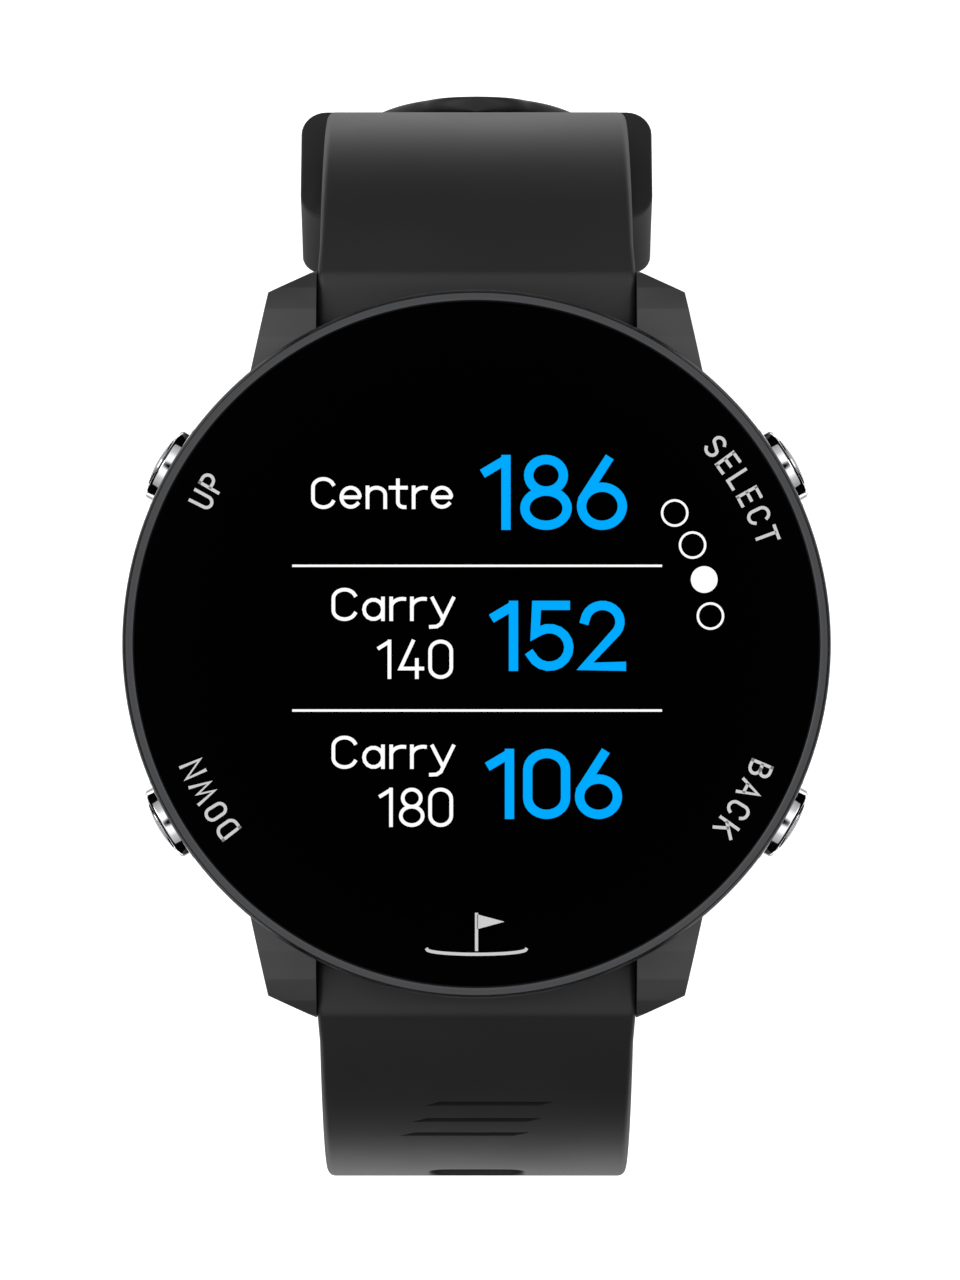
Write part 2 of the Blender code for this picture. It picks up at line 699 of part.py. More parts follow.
def slot_cutter(index):
    """A slot with rounded ends, square through the band."""
    y, depth, angle = path_point(TANG_SLOT_LENGTH + (index - TANG_SLOT) * SLOT_PITCH)
    slot = box((SLOT_SIZE[0], SLOT_SIZE[1], 8 * MM), (0, 0, 0))
    bevel = slot.modifiers.new("ends", "BEVEL")
    bevel.width = 1.2 * MM
    bevel.segments = 3
    bevel.affect = "EDGES"
    bevel.limit_method = "WEIGHT"
    weights = slot.data.attributes.new("bevel_weight_edge", "FLOAT", "EDGE")
    for edge in slot.data.edges:
        ends = [slot.data.vertices[v].co for v in edge.vertices]
        weights.data[edge.index].value = 1.0 if abs(ends[0].z - ends[1].z) > MM else 0.0
    slot.location = (0, y, up(depth))
    slot.rotation_euler.x = pi / 2 - angle
    return as_cutter(slot, "slot")


def strap_lower():
    """The tail half: case, 6 o'clock side, bottom, and up outside the buckle half."""
    outer_side, inner_side = side_points(TAIL_THICK)
    outer = mirrored(root_outline() + outer_side)
    outer += arc(LOWER_CENTRE, TAIL_R, 180, 90, 12)[1:]
    thin, full = TIP_TAPER
    outer += arc(TURN_CENTRE, TAIL_R, 90, full, 10)
    inner = arc(TURN_CENTRE, TAIL_INNER_R, 0, 90, 12)
    tip_r, count = TAIL_INNER_R + TIP_THICK, 3
    for i in range(1, count):
        angle = full + (thin - full) * i / count
        outer += arc(TURN_CENTRE, TAIL_R + (tip_r - TAIL_R) * i / count, angle, angle, 1)[:1]
    outer += arc(TURN_CENTRE, tip_r, thin, 0, 3)
    inner += arc(LOWER_CENTRE, TAIL_INNER_R, 90, 180, 12)
    inner += mirrored(inner_side[::-1][1:] + ROOT_INNER)
    strap = side_outline("strap_lower", (outer + inner)[::-1], STRAP_WIDTH / 2)
    cut(strap, bar_bore(-1), tip_cutter())
    for index in range(SLOTS):
        cut(strap, slot_cutter(index))
    finish(strap, "strap_lower", "silicone")


def tip_cutter():
    """Everything beside the tail's rounded tip."""
    half, segments = STRAP_WIDTH / 2, 10
    outline = [(-half - MM, -TIP_LENGTH), (-half - MM, MM), (half + MM, MM), (half + MM, -TIP_LENGTH)]
    for i in range(segments + 1):
        turn = pi * i / segments
        x = half * abs(cos(turn)) ** TIP_POINT * (1 if cos(turn) > 0 else -1)
        outline.append((x, -TIP_LENGTH + TIP_LENGTH * sin(turn)))
    trim = extruded("tip_trim", outline, 4 * MM)
    trim.rotation_euler = (pi / 2, 0, 0)
    trim.location = (0, SIDE_Y + 2.5 * MM, up(TURN_CENTRE[1]))
    return as_cutter(meshed(trim), "tip_trim")


def spring_bars():
    for word, side in (("upper", 1), ("lower", -1)):
        y, z = spring_bar_centre(side)
        tube = cylinder(BAR_R, (-BAR_HALF, y, z), (BAR_HALF, y, z))
        for end in (1, -1):
            low, high = end * (BAR_HALF - 3.6 * MM), end * (BAR_HALF + MM)
            socket = cylinder(TIP_R + 0.08 * MM, (low, y, z), (high, y, z), 12)
            cut(tube, as_cutter(socket, "tip_socket"))
            inside, outside = end * (BAR_HALF - 2.0 * MM), end * TIP_END_X
            tip = cylinder(TIP_R, (inside, y, z), (outside, y, z), 12)
            finish(tip, f"bar_tip_{word}_{'right' if end > 0 else 'left'}", "steel")
        finish(tube, "spring_bar_" + word, "steel")


# ---------------------------------------------------------------- buckle and keepers
def capsule(start, end, radius, count=8):
    """The outline round two points of (y, depth)."""
    heading = degrees(atan_of(end[1] - start[1], end[0] - start[0]))
    ends = arc(end, radius, heading - 90, heading + 90, count)
    return ends + arc(start, radius, heading + 90, heading + 270, count)


def atan_of(rise, run):
    length = sqrt(rise * rise + run * run)
    angle = acos(run / length)
    return angle if rise >= 0 else -angle


def buckle():
    pin, front = (PIN_Y, PIN_DEPTH), (FRONT_Y, FRONT_DEPTH)
    half = (ARM_X[1] - ARM_X[0]) / 2
    middle = ARM_X[0] + half
    front_z = up(FRONT_DEPTH)
    frame = cylinder(FRONT_R, (-ARM_X[0] - half, FRONT_Y, front_z), (ARM_X[0] + half, FRONT_Y, front_z), 20)
    for side in (1, -1):
        arm = side_outline("arm", capsule(pin, front, ARM_R)[::-1], half, side * middle)
        join(frame, as_cutter(arm, "arm"), "UNION")
    bore = cylinder(PIN_R + 0.05 * MM, (-15 * MM, PIN_Y, up(PIN_DEPTH)), (15 * MM, PIN_Y, up(PIN_DEPTH)), 20)
    half_seat = TANG_WIDTH / 2 + 0.2 * MM
    seat = box_between(
        (-half_seat, FRONT_Y - 2 * MM, up(FRONT_DEPTH + 2 * MM)),
        (half_seat, FRONT_Y + 2 * MM, up(FRONT_DEPTH - 0.05 * MM)),
    )
    cut(frame, as_cutter(bore, "arm_bores"), as_cutter(seat, "tang_seat"))
    finish(frame, "buckle_frame", "gunmetal")
    rod = cylinder(PIN_R, (-ARM_X[1], PIN_Y, up(PIN_DEPTH)), (ARM_X[1], PIN_Y, up(PIN_DEPTH)), 20)
    finish(rod, "buckle_pin", "steel")
    tang()


def tang_outline():
    """The tang from the side: a strip along its middle line, (y, depth)."""
    middle = [
        (PIN_Y - 0.9 * MM, 57.0 * MM),
        (0.2 * MM, 57.05 * MM),
        (-1.0 * MM, 57.3 * MM),
        (-2.2 * MM, 57.95 * MM),
        (-4.2 * MM, 60.1 * MM),
        (-5.4 * MM, 61.15 * MM),
        (-6.9 * MM, 61.8 * MM),
        (-8.4 * MM, 61.95 * MM),
        (-10.6 * MM, 61.95 * MM),
    ]
    outer, inner = [], []
    for i, point in enumerate(middle):
        before, after = middle[max(i - 1, 0)], middle[min(i + 1, len(middle) - 1)]
        run, rise = after[0] - before[0], after[1] - before[1]
        length = sqrt(run * run + rise * rise)
        side = (-rise / length * TANG_THICK / 2, run / length * TANG_THICK / 2)
        outer.append((point[0] + side[0], point[1] + side[1]))
        inner.append((point[0] - side[0], point[1] - side[1]))
    return outer + inner[::-1]


def tang():
    strip = side_outline("tang_strip", tang_outline(), TANG_WIDTH / 2)
    pin_z = up(PIN_DEPTH)
    half = TANG_WIDTH / 2
    knuckle = cylinder(1.45 * MM, (-half, PIN_Y, pin_z), (half, PIN_Y, pin_z), 20)
    knuckle.location = (0, PIN_Y, pin_z)
    bore = cylinder(PIN_R + 0.08 * MM, (-5 * MM, PIN_Y, pin_z), (5 * MM, PIN_Y, pin_z), 20)
    join(knuckle, as_cutter(strip, "tang_strip"), "UNION")
    cut(knuckle, as_cutter(bore, "tang_bore"))
    finish(knuckle, "buckle_tang", "gunmetal")


def sector(name, inner_r, outer_r, start, end, half, count=4):
    """A block between two radii round the bottom corner's centre."""
    outline = arc(TURN_CENTRE, outer_r, start, end, count)
    outline += arc(TURN_CENTRE, inner_r, end, start, count)
    return side_outline(name, outline[::-1], half)


def keepers():
    start, end = FREE_KEEPER
    inside = (TURN_R - UPPER_THICK[1] - KEEPER_SLACK, TAIL_R + KEEPER_SLACK)
    outside = (inside[0] - 1.6 * MM, inside[1] + 1.5 * MM)
    free = sector("keeper_free", *outside, start, end, KEEPER_HALF_X)
    hollow = sector("keeper_hollow", *inside, start - 8, end + 8, KEEPER_INSIDE_X)
    cut(free, as_cutter(hollow, "keeper_hollow"))
    finish(free, "keeper_free", "silicone")
    low_y, high_y = FIXED_KEEPER_Y
    low = (-KEEPER_HALF_X, low_y, 0)
    high = (KEEPER_HALF_X, high_y, up(BOTTOM - UPPER_THICK[1] - KEEPER_SLACK - 1.5 * MM))
    fixed = bevelled(box_between(low, high), 0.5 * MM, 1)
    low = (-KEEPER_INSIDE_X, low_y - 5 * MM, up(TAIL_BOTTOM + KEEPER_SLACK))
    high = (KEEPER_INSIDE_X, high_y + 5 * MM, up(BOTTOM - UPPER_THICK[1] - KEEPER_SLACK))
    cut(fixed, as_cutter(box_between(low, high), "fixed_keeper_hollow"))
    finish(fixed, "keeper_fixed", "silicone")


# ---------------------------------------------------------------- assembly
def build():
    case_body()
    bezel_ring()
    lens()
    display_stack()
    electronics()
    case_back()
    for name, angle in BUTTONS.items():
        button(name, angle)
    strap_upper()
    strap_lower()
    spring_bars()
    buckle()
    keepers()


build()
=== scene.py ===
"""The looks of the golf GPS watch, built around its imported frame.

Sizes are in millimetres and go through place(), which puts a point given by x, y and its depth
below the bezel's top into the frame. y runs to 12 o'clock and x to 3 o'clock.
"""

from math import atan2, cos, degrees, pi, radians, sin, sqrt

import bmesh
import bpy
from mathutils import Matrix, Vector


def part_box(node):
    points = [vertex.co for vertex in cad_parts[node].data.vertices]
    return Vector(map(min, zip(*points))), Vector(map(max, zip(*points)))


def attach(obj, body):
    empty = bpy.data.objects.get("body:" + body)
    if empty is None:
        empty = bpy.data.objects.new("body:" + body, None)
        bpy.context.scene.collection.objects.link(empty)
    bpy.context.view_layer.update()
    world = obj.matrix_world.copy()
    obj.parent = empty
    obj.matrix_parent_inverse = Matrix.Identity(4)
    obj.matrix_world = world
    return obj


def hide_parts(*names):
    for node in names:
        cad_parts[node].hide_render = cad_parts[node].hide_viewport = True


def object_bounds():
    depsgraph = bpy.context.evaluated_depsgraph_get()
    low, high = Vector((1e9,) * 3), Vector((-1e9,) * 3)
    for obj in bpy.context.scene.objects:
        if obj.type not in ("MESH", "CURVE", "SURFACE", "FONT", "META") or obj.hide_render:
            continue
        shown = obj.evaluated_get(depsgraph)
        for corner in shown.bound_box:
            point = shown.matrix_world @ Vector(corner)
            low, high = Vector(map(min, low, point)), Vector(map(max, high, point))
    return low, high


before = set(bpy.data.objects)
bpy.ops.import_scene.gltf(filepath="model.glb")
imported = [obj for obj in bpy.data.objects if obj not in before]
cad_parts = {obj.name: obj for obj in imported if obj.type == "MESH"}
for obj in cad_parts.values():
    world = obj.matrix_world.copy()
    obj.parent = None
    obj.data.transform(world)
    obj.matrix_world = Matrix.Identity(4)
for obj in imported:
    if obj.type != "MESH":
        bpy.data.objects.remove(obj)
CAD_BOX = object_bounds()

MM = 0.001
BEZEL_LOW, BEZEL_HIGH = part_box("bezel_ring")
AXIS_Y = (BEZEL_LOW[1] + BEZEL_HIGH[1]) / 2
TOP = BEZEL_HIGH[2]
FLOOR_Z = CAD_BOX[0][2]

# ---------------- sizes, in millimetres
TURN_STEPS = 192  # round the case
SMALL_STEPS = 64  # round a button or a screw

CASE_R, CASE_TOP, CASE_BOTTOM, CAVITY_R = 22.0, 2.3, 9.7, 18.2
BEZEL_R, BEZEL_INNER_R, BEZEL_FLAT_R = 22.25, 21.43, 22.04
LENS_R, LENS_TOP, LENS_BOTTOM = 21.35, 0.05, 1.25
SHELF_R, SHELF_DEPTH = 19.2, 4.0
LUG_INNER_X, NOTCH_Y, NOTCH_TOP = 10.15, 19.5, 4.3
LUG_SPLAY, LUG_SLANT = radians(12), radians(64)  # how the cutting planes face, from sideways
BAR_Y, BAR_DEPTH, BAR_HOLE_R = 21.6, 7.6, 0.55
TRIM = 0.01  # keeps a cutter off the faces that it would otherwise share
SCREW_X, SCREW_Y = 11.9, 18.4
CORNERS = [(1, 1), (1, -1), (-1, 1), (-1, -1)]  # signs of x and y, in the order that lugs are joined
CONTACT_PITCH, CONTACT_Y = 2.6, -9

BUTTONS = {"up": 150, "select": 30, "down": 210, "back": 330}
BUTTON_DEPTH, HEAD_OUT, HEAD_IN, HEAD_R, STEM_R, STEM_END = 5.6, 23.35, 21.8, 2.4, 0.7, 17.35
COLLAR_INNER_R, COLLAR_OUTER_R, COLLAR_OUT, POCKET_FLOOR = 2.5, 3.05, 22.35, 20.1

HALF_WIDTH, ROOT_HALF = 10.0, 10.135
ROOT_Y, ROOT_DEPTH, ROOT_INNER, CREASE_Y = 19.8, 4.7, 9.5, 23.7
FALL_ANGLE, FALL_LENGTH = radians(47), 3.0
SIDE_R, TURN_R, UPPER_THICK, ROOT_THICK = 38.0, 25.0, 2.6, 5.0
TAIL_THICK, TIP_THICK, TIP_TAPER, TIP_LENGTH = 1.9, 1.0, (12, 24), 17.0
TIP_POINT = 0.67  # half the power that sets how pointed the tip is
TIP_ROUND = 0.12  # the first part of its length, over which it is rounder
SLOT_WIDTH, SLOT_LENGTH, SLOT_CORNER, SLOT_PITCH, SLOTS, TANG_SLOT = 6.2, 3.9, 1.2, 7.8, 12, 7
GROOVE_DEPTH, GROOVE_HALF = 0.7, 0.28
TANG_SLOT_Y = -3.55

PIN_Y, PIN_DEPTH, BOSS_R, SWELL, BORE_R = 2.2, 56.2, 1.9, 2.6, 0.8
FRONT_Y, FRONT_DEPTH, ARM_X = -9.4, 61.4, (10.4, 12.4)
FREE_KEEPER = (25.0, 43.5)
FIXED_KEEPER_Y = (5.2, 10.9)
KEEPER_HALF_X, KEEPER_INSIDE_X, KEEPER_SLACK = 12.2, 10.3, 0.3

FALL_START = (CREASE_Y, ROOT_DEPTH + 0.3)
FALL_END = (FALL_START[0] + FALL_LENGTH * cos(FALL_ANGLE), FALL_START[1] + FALL_LENGTH * sin(FALL_ANGLE))
SIDE_CENTRE = (FALL_END[0] - SIDE_R * sin(FALL_ANGLE), FALL_END[1] + SIDE_R * cos(FALL_ANGLE))
SIDE_Y = SIDE_CENTRE[0] + SIDE_R
TURN_CENTRE = (SIDE_Y - TURN_R, SIDE_CENTRE[1])
BOTTOM = TURN_CENTRE[1] + TURN_R
TAIL_R = TURN_R + 0.2 + TAIL_THICK
TAIL_INNER_R = TURN_R + 0.2
LOWER_CENTRE = (-(SIDE_Y - TAIL_R), TURN_CENTRE[1])
TAIL_BOTTOM = LOWER_CENTRE[1] + TAIL_R


def place(x, y, depth):
    return Vector((x * MM, y * MM + AXIS_Y, TOP - depth * MM))


# ---------------- materials
NOISE_LOW, NOISE_HIGH = 0.3, 0.7  # a noise's values mostly lie between these


class Nodes:
    """A material's node tree, with its Principled shader."""

    def __init__(self, name, colour, roughness, metallic=0.0):
        self.material = bpy.data.materials.new(name)
        self.material.use_nodes = True
        self.tree = self.material.node_tree
        self.shader = self.tree.nodes["Principled BSDF"]
        self.set("Base Color", (*colour, 1))
        self.set("Roughness", roughness)
        self.set("Metallic", metallic)
        self.material.diffuse_color = (*colour, 1)

    def set(self, socket, value):
        self.shader.inputs[socket].default_value = value

    def add(self, kind, **values):
        node = self.tree.nodes.new(kind)
        for key, value in values.items():
            if hasattr(node, key):
                setattr(node, key, value)
            else:
                node.inputs[key.replace("_", " ")].default_value = value
        return node

    def link(self, source, target):
        self.tree.links.new(source, target)

    def noise(self, scale, detail=3.0, vector=None):
        node = self.add("ShaderNodeTexNoise", Scale=scale, Detail=detail)
        self.link(vector or self.position(), node.inputs["Vector"])
        return node.outputs["Fac"]

    def position(self):
        return self.add("ShaderNodeTexCoord").outputs["Object"]

    def vector_math(self, operation, source, value=(0, 0, 0)):
        node = self.add("ShaderNodeVectorMath", operation=operation)
        self.link(source, node.inputs[0])
        node.inputs[1].default_value = value
        return node.outputs

    def spread(self, value, low, high):
        ends = {"From_Min": NOISE_LOW, "From_Max": NOISE_HIGH, "To_Min": low, "To_Max": high}
        node = self.add("ShaderNodeMapRange", **ends)
        self.link(value, node.inputs["Value"])
        return node.outputs["Result"]

    def bump(self, height, distance, strength=1.0):
        node = self.add("ShaderNodeBump", Strength=strength, Distance=distance)
        self.link(height, node.inputs["Height"])
        self.link(node.outputs["Normal"], self.shader.inputs["Normal"])

    def roughen(self, value, low, high):
        self.link(self.spread(value, low, high), self.shader.inputs["Roughness"])

    def tint(self, value, dark, light):
        ramp = self.add("ShaderNodeValToRGB")
        ends = zip(ramp.color_ramp.elements, (dark, light), (NOISE_LOW, NOISE_HIGH))
        for stop, colour, position in ends:
            stop.color, stop.position = (*colour, 1), position
        self.link(value, ramp.inputs["Fac"])
        self.link(ramp.outputs["Color"], self.shader.inputs["Base Color"])


def silicone(name):
    """Moulded silicone: a fine eggshell grain, and faint cloudy patches in its sheen."""
    made = Nodes(name, (0.016, 0.016, 0.0162), 0.5)
    made.roughen(made.noise(70, 3), 0.46, 0.5)
    made.tint(made.noise(90, 3), (0.0145, 0.0145, 0.0147), (0.017, 0.017, 0.0172))
    made.bump(made.noise(9000, 2), 0.000012, 0.35)
    made.set("IOR", 1.34)
    return made.material


def moulded(name, dark, light, roughness, grain=6000):
    made = Nodes(name, light, roughness)
    made.roughen(made.noise(260, 3), roughness - 0.06, roughness + 0.06)
    made.tint(made.noise(120, 3), dark, light)
    made.bump(made.noise(grain, 2), 0.00001, 0.4)
    return made.material


def polished(name, colour, roughness, metallic=1.0):
    """Plated metal with a faint haze of fine handling marks."""
    made = Nodes(name, colour, roughness, metallic)
    made.roughen(made.noise(900, 4), max(roughness - 0.03, 0.02), roughness + 0.05)
    made.bump(made.noise(2500, 2), 0.000003, 0.3)
    return made.material


def distance_from_axis(made):
    """Node outputs: distance from the display's axis, and a vector of it and the height."""
    offset = made.vector_math("SUBTRACT", made.position(), (0, AXIS_Y, 0))["Vector"]
    flat = made.vector_math("MULTIPLY", offset, (1, 1, 0))["Vector"]
    radius = made.vector_math("LENGTH", flat)["Value"]
    split = made.add("ShaderNodeSeparateXYZ")
    made.link(offset, split.inputs["Vector"])
    joined = made.add("ShaderNodeCombineXYZ")
    made.link(radius, joined.inputs["X"])
    made.link(split.outputs["Z"], joined.inputs["Y"])
    return radius, joined.outputs["Vector"]


def turned_metal(name, colour, roughness, metallic):
    """Metal with fine lines running round the axis, with painted shade at both rims where it falls away:
    darker at the inner rim, near black on the outer wall.
    """
    made = Nodes(name, colour, roughness, metallic)
    radius, along = distance_from_axis(made)
    lines = made.noise(14000, 2, along)
    made.roughen(lines, roughness - 0.05, roughness + 0.05)
    made.bump(lines, 0.000006, 0.3)
    across = made.add("ShaderNodeMapRange", From_Min=BEZEL_INNER_R * MM, From_Max=BEZEL_R * MM)
    made.link(radius, across.inputs["Value"])
    # Painted shade: this ramp across the ring darkens the inner rim and turns the outer wall near black
    # in place of the shade there; the grey between is the metal's own colour.
    ramp = made.add("ShaderNodeValToRGB")
    made.link(across.outputs["Result"], ramp.inputs["Fac"])
    stops = ramp.color_ramp.elements
    stops[0].position, stops[0].color = 0.0, (*(c * 0.35 for c in colour), 1)
    stops[1].position, stops[1].color = 0.74, (0.004, 0.004, 0.004, 1)
    for position in (0.22, 0.66):
        stops.new(position).color = (*colour, 1)
    made.link(ramp.outputs["Color"], made.shader.inputs["Base Color"])
    made.set("Specular IOR Level", 0.15)
    return made.material


def black_glass(name):
    """Cover glass printed black from behind: it hardly mirrors, and shows faint smears."""
    made = Nodes(name, (0.0002, 0.0002, 0.0002), 0.06)
    made.set("IOR", 1.05)
    made.roughen(made.noise(45, 2), 0.04, 0.09)
    return made.material


def lit(name, colour, strength=1.0):
    """Light from the display. Its face is black, so that only its own light shows."""
    made = Nodes(name, (0.0, 0.0, 0.0), 0.4)
    made.set("Emission Color", (*colour, 1))
    made.set("Emission Strength", strength)
    made.set("Specular IOR Level", 0.0)
    made.roughen(made.noise(600, 2), 0.35, 0.45)
    return made.material


def printed(name, colour):
    made = Nodes(name, colour, 0.45)
    made.roughen(made.noise(700, 2), 0.4, 0.5)
    made.tint(made.noise(1500, 2), tuple(c * 0.93 for c in colour), colour)
    # Painted glow: the print gives off a little grey light of its own, so it shows lighter than the lamps
    # alone would make it.
    made.set("Emission Color", (*colour, 1))
    made.set("Emission Strength", 0.3)
    return made.material


def make_materials():
    return {
        "silicone": silicone("silicone_black"),
        "case": moulded("case_black", (0.022, 0.022, 0.023), (0.032, 0.032, 0.034), 0.4),
        "back": moulded("back_black", (0.03, 0.03, 0.031), (0.04, 0.04, 0.042), 0.5, 4500),
        "bezel": turned_metal("bezel_grey", (0.07, 0.071, 0.074), 0.36, 0.8),
        "glass": black_glass("cover_glass_black"),
        "chrome": polished("chrome", (0.72, 0.72, 0.74), 0.06),
        "steel": polished("steel", (0.42, 0.42, 0.43), 0.28),
        "screw": polished("screw_plating", (0.25, 0.25, 0.26), 0.3),
        "gold": polished("gold_plating", (0.83, 0.62, 0.28), 0.18),
        "buckle": polished("buckle_black", (0.07, 0.07, 0.075), 0.3, 0.9),
        "gasket": moulded("gasket_black", (0.015, 0.015, 0.015), (0.03, 0.03, 0.03), 0.7),
        "board": moulded("board_green", (0.01, 0.08, 0.03), (0.015, 0.12, 0.05), 0.45),
        "ceramic": moulded("ceramic_buff", (0.5, 0.45, 0.34), (0.6, 0.55, 0.42), 0.6),
        "blue": lit("display_blue", (0.0, 0.402, 1.0)),
        "white": lit("display_white", (1.0, 1.0, 1.0)),
        "print": printed("legend_grey", (0.4, 0.4, 0.4)),
    }


LOOKS = make_materials()


# ---------------- mesh helpers
SHARP_ANGLE = radians(30)  # edges that bend more than this are shaded as edges
WELD = 1e-7  # metres, points closer than this become one


def linked(name, data):
    obj = bpy.data.objects.new(name, data)
    bpy.context.scene.collection.objects.link(obj)
    return obj


def piece(name, mesh, look, body="root", replaces=()):
    """A finished piece, with its material, shading and body, hiding the frame's pieces that it replaces.
    """
    obj = linked(name, mesh)
    mesh.materials.clear()
    mesh.materials.append(LOOKS[look])
    mesh.shade_smooth()
    mesh.set_sharp_from_angle(angle=SHARP_ANGLE)
    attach(obj, body)
    if replaces:
        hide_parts(*replaces)


def mesh_of(name, verts, faces, weld=True):
    mesh = bpy.data.meshes.new(name)
    mesh.from_pydata([tuple(v) for v in verts], [], faces)
    work = bmesh.new()
    work.from_mesh(mesh)
    if weld:
        bmesh.ops.remove_doubles(work, verts=work.verts, dist=WELD)
    bmesh.ops.recalc_face_normals(work, faces=work.faces)
    work.to_mesh(mesh)
    work.free()
    return mesh


def rounded(start, corner, end, t):
    """A point on the curve from start to end that a corner pulls outwards."""
    return tuple((1 - t) ** 2 * start + 2 * t * (1 - t) * corner + t**2 * end)


def fillet(points, radius, segments=4, closed=False):
    """The points with their corners rounded, as far as the sides next to them allow."""
    made = []
    count = len(points)
    for i, point in enumerate(points):
        if not closed and i in (0, count - 1):
            made.append(tuple(point))
            continue
        here = Vector(point)
        before, after = Vector(points[i - 1]), Vector(points[(i + 1) % count])
        to_before, to_after = before - here, after - here
        turn = pi - to_before.angle(to_after)
        wanted = radius * sin(turn / 2) / max(cos(turn / 2), 1e-6)
        reach = min(wanted, 0.45 * to_before.length, 0.45 * to_after.length)
        start = here + to_before.normalized() * reach
        end = here + to_after.normalized() * reach
        made += [rounded(start, here, end, k / segments) for k in range(segments + 1)]
    return made


def lathe_mesh(name, profile, steps, to_world, closed):
    """A profile of (radius, height) turned round local Z."""
    verts, rows = [], []
    for radius, height in profile:
        on_axis = radius < 1e-6
        first = len(verts)
        for turn in [2 * pi * k / steps for k in range(1 if on_axis else steps)]:
            verts.append(to_world @ Vector((radius * cos(turn), radius * sin(turn), height)))
        rows.append([first] * steps if on_axis else list(range(first, first + steps)))
    faces = []
    for upper, lower in zip(rows, rows[1:] + (rows[:1] if closed else [])):
        for k in range(steps):
            n = (k + 1) % steps
            corners = [upper[k], upper[n], lower[n], lower[k]]
            corners = [c for i, c in enumerate(corners) if c not in corners[:i]]
            if len(corners) > 2:
                faces.append(corners)
    return mesh_of(name, verts, faces)


def case_lathe(name, profile, radius=0.0, steps=TURN_STEPS):
    """A profile of (radius, depth) in millimetres turned round the display's axis."""
    closed = profile[0][0] > 0
    points = fillet(profile, radius, closed=closed) if radius else profile
    to_world = Matrix.Translation((0, AXIS_Y, TOP))
    return lathe_mesh(name, [(r * MM, -d * MM) for r, d in points], steps, to_world, closed)


def radial(angle):
    """The frame whose local Z points outwards at this angle, at the buttons' height."""
    across = Matrix.Rotation(radians(angle), 4, "Z") @ Matrix.Rotation(pi / 2, 4, "Y")
    return Matrix.Translation((0, AXIS_Y, TOP - BUTTON_DEPTH * MM)) @ across


def radial_lathe(name, profile, angle, radius, steps=SMALL_STEPS):
    closed = profile[0][0] > 0
    points = fillet(profile, radius, closed=closed)
    return lathe_mesh(name, [(r * MM, z * MM) for r, z in points], steps, radial(angle), closed)


def loft(name, verts, rows):
    """A closed solid through rows of points, as many in each, with flat ends."""
    faces = []
    ring = len(verts) // rows
    last = (rows - 1) * ring
    for start in range(0, last, ring):
        for k in range(ring):
            n = (k + 1) % ring
            faces.append([start + k, start + n, start + ring + n, start + ring + k])
    faces += [list(range(ring - 1, -1, -1)), list(range(last, last + ring))]
    return mesh_of(name, verts, faces)


def round_rectangle(half_x, low, high, radius, corner):
    """Points round a rectangle with round corners."""
    left, right = radius - half_x, half_x - radius
    points = []
    centres = ((right, high - radius), (left, high - radius), (left, low + radius), (right, low + radius))
    for quarter, (x, y) in enumerate(centres):
        for k in range(corner + 1):
            turn = pi / 2 * (quarter + k / corner)
            points.append((x + radius * cos(turn), y + radius * sin(turn)))
    return points


def prism(name, outline, low_x, high_x):
    """An outline of (y, depth) between two planes across X."""
    return loft(name, [place(x, y, d) for x in (low_x, high_x) for y, d in outline], 2)


def modified(obj, kind, **values):
    modifier = obj.modifiers.new(kind, kind)
    for key, value in values.items():
        setattr(modifier, key, value)
    return obj


def applied(obj):
    """The object's mesh with its modifiers, as a new mesh. The object goes."""
    graph = bpy.context.evaluated_depsgraph_get()
    mesh = bpy.data.meshes.new_from_object(obj.evaluated_get(graph))
    mesh.transform(obj.matrix_world)
    bpy.data.objects.remove(obj)
    return mesh


def boolean(mesh, others, operation="DIFFERENCE"):
    """mesh with each of the other meshes cut from it or joined to it."""
    work = linked("work", mesh)
    helpers = [linked("helper", other) for other in others]
    for helper in helpers:
        modified(work, "BOOLEAN", operation=operation, object=helper, solver="EXACT")
    made = applied(work)
    for helper in helpers:
        bpy.data.objects.remove(helper)
    return made


def rod(radius, start, end, steps=48):
    """A plain cylinder between two world points, as a cutter or as the core of a piece."""
    along = end - start
    to_world = Matrix.Translation(start) @ along.to_track_quat("Z", "Y").to_matrix().to_4x4()
    profile = [(0, 0), (radius * MM, 0), (radius * MM, along.length), (0, along.length)]
    return lathe_mesh("rod", profile, steps, to_world, False)


def cross_bore(y, depth, radius=BORE_R, steps=48):
    """A cutter right across X."""
    return rod(radius, place(-20, y, depth), place(20, y, depth), steps)


def block(low, high):
    """A box cutter between two corners of (x, y, depth)."""
    outline = [(low[1], low[2]), (high[1], low[2]), (high[1], high[2]), (low[1], high[2])]
    return prism("block", outline, low[0], high[0])


def edged(mesh, width, segments=3, angle=35):
    """The mesh with its sharp edges rounded."""
    work = linked("work", mesh)
    limit = {"limit_method": "ANGLE", "angle_limit": radians(angle)}
    modified(work, "BEVEL", width=width * MM, segments=segments, miter_outer="MITER_ARC", **limit)
    return applied(work)


def arc(centre, radius, start, end, count):
    """Points of (y, depth) on an arc. 0 degrees is towards 12 o'clock and 90 straight down."""
    step = (end - start) / count
    angles = [radians(start + step * i) for i in range(count + 1)]
    return [(centre[0] + radius * cos(a), centre[1] + radius * sin(a)) for a in angles]


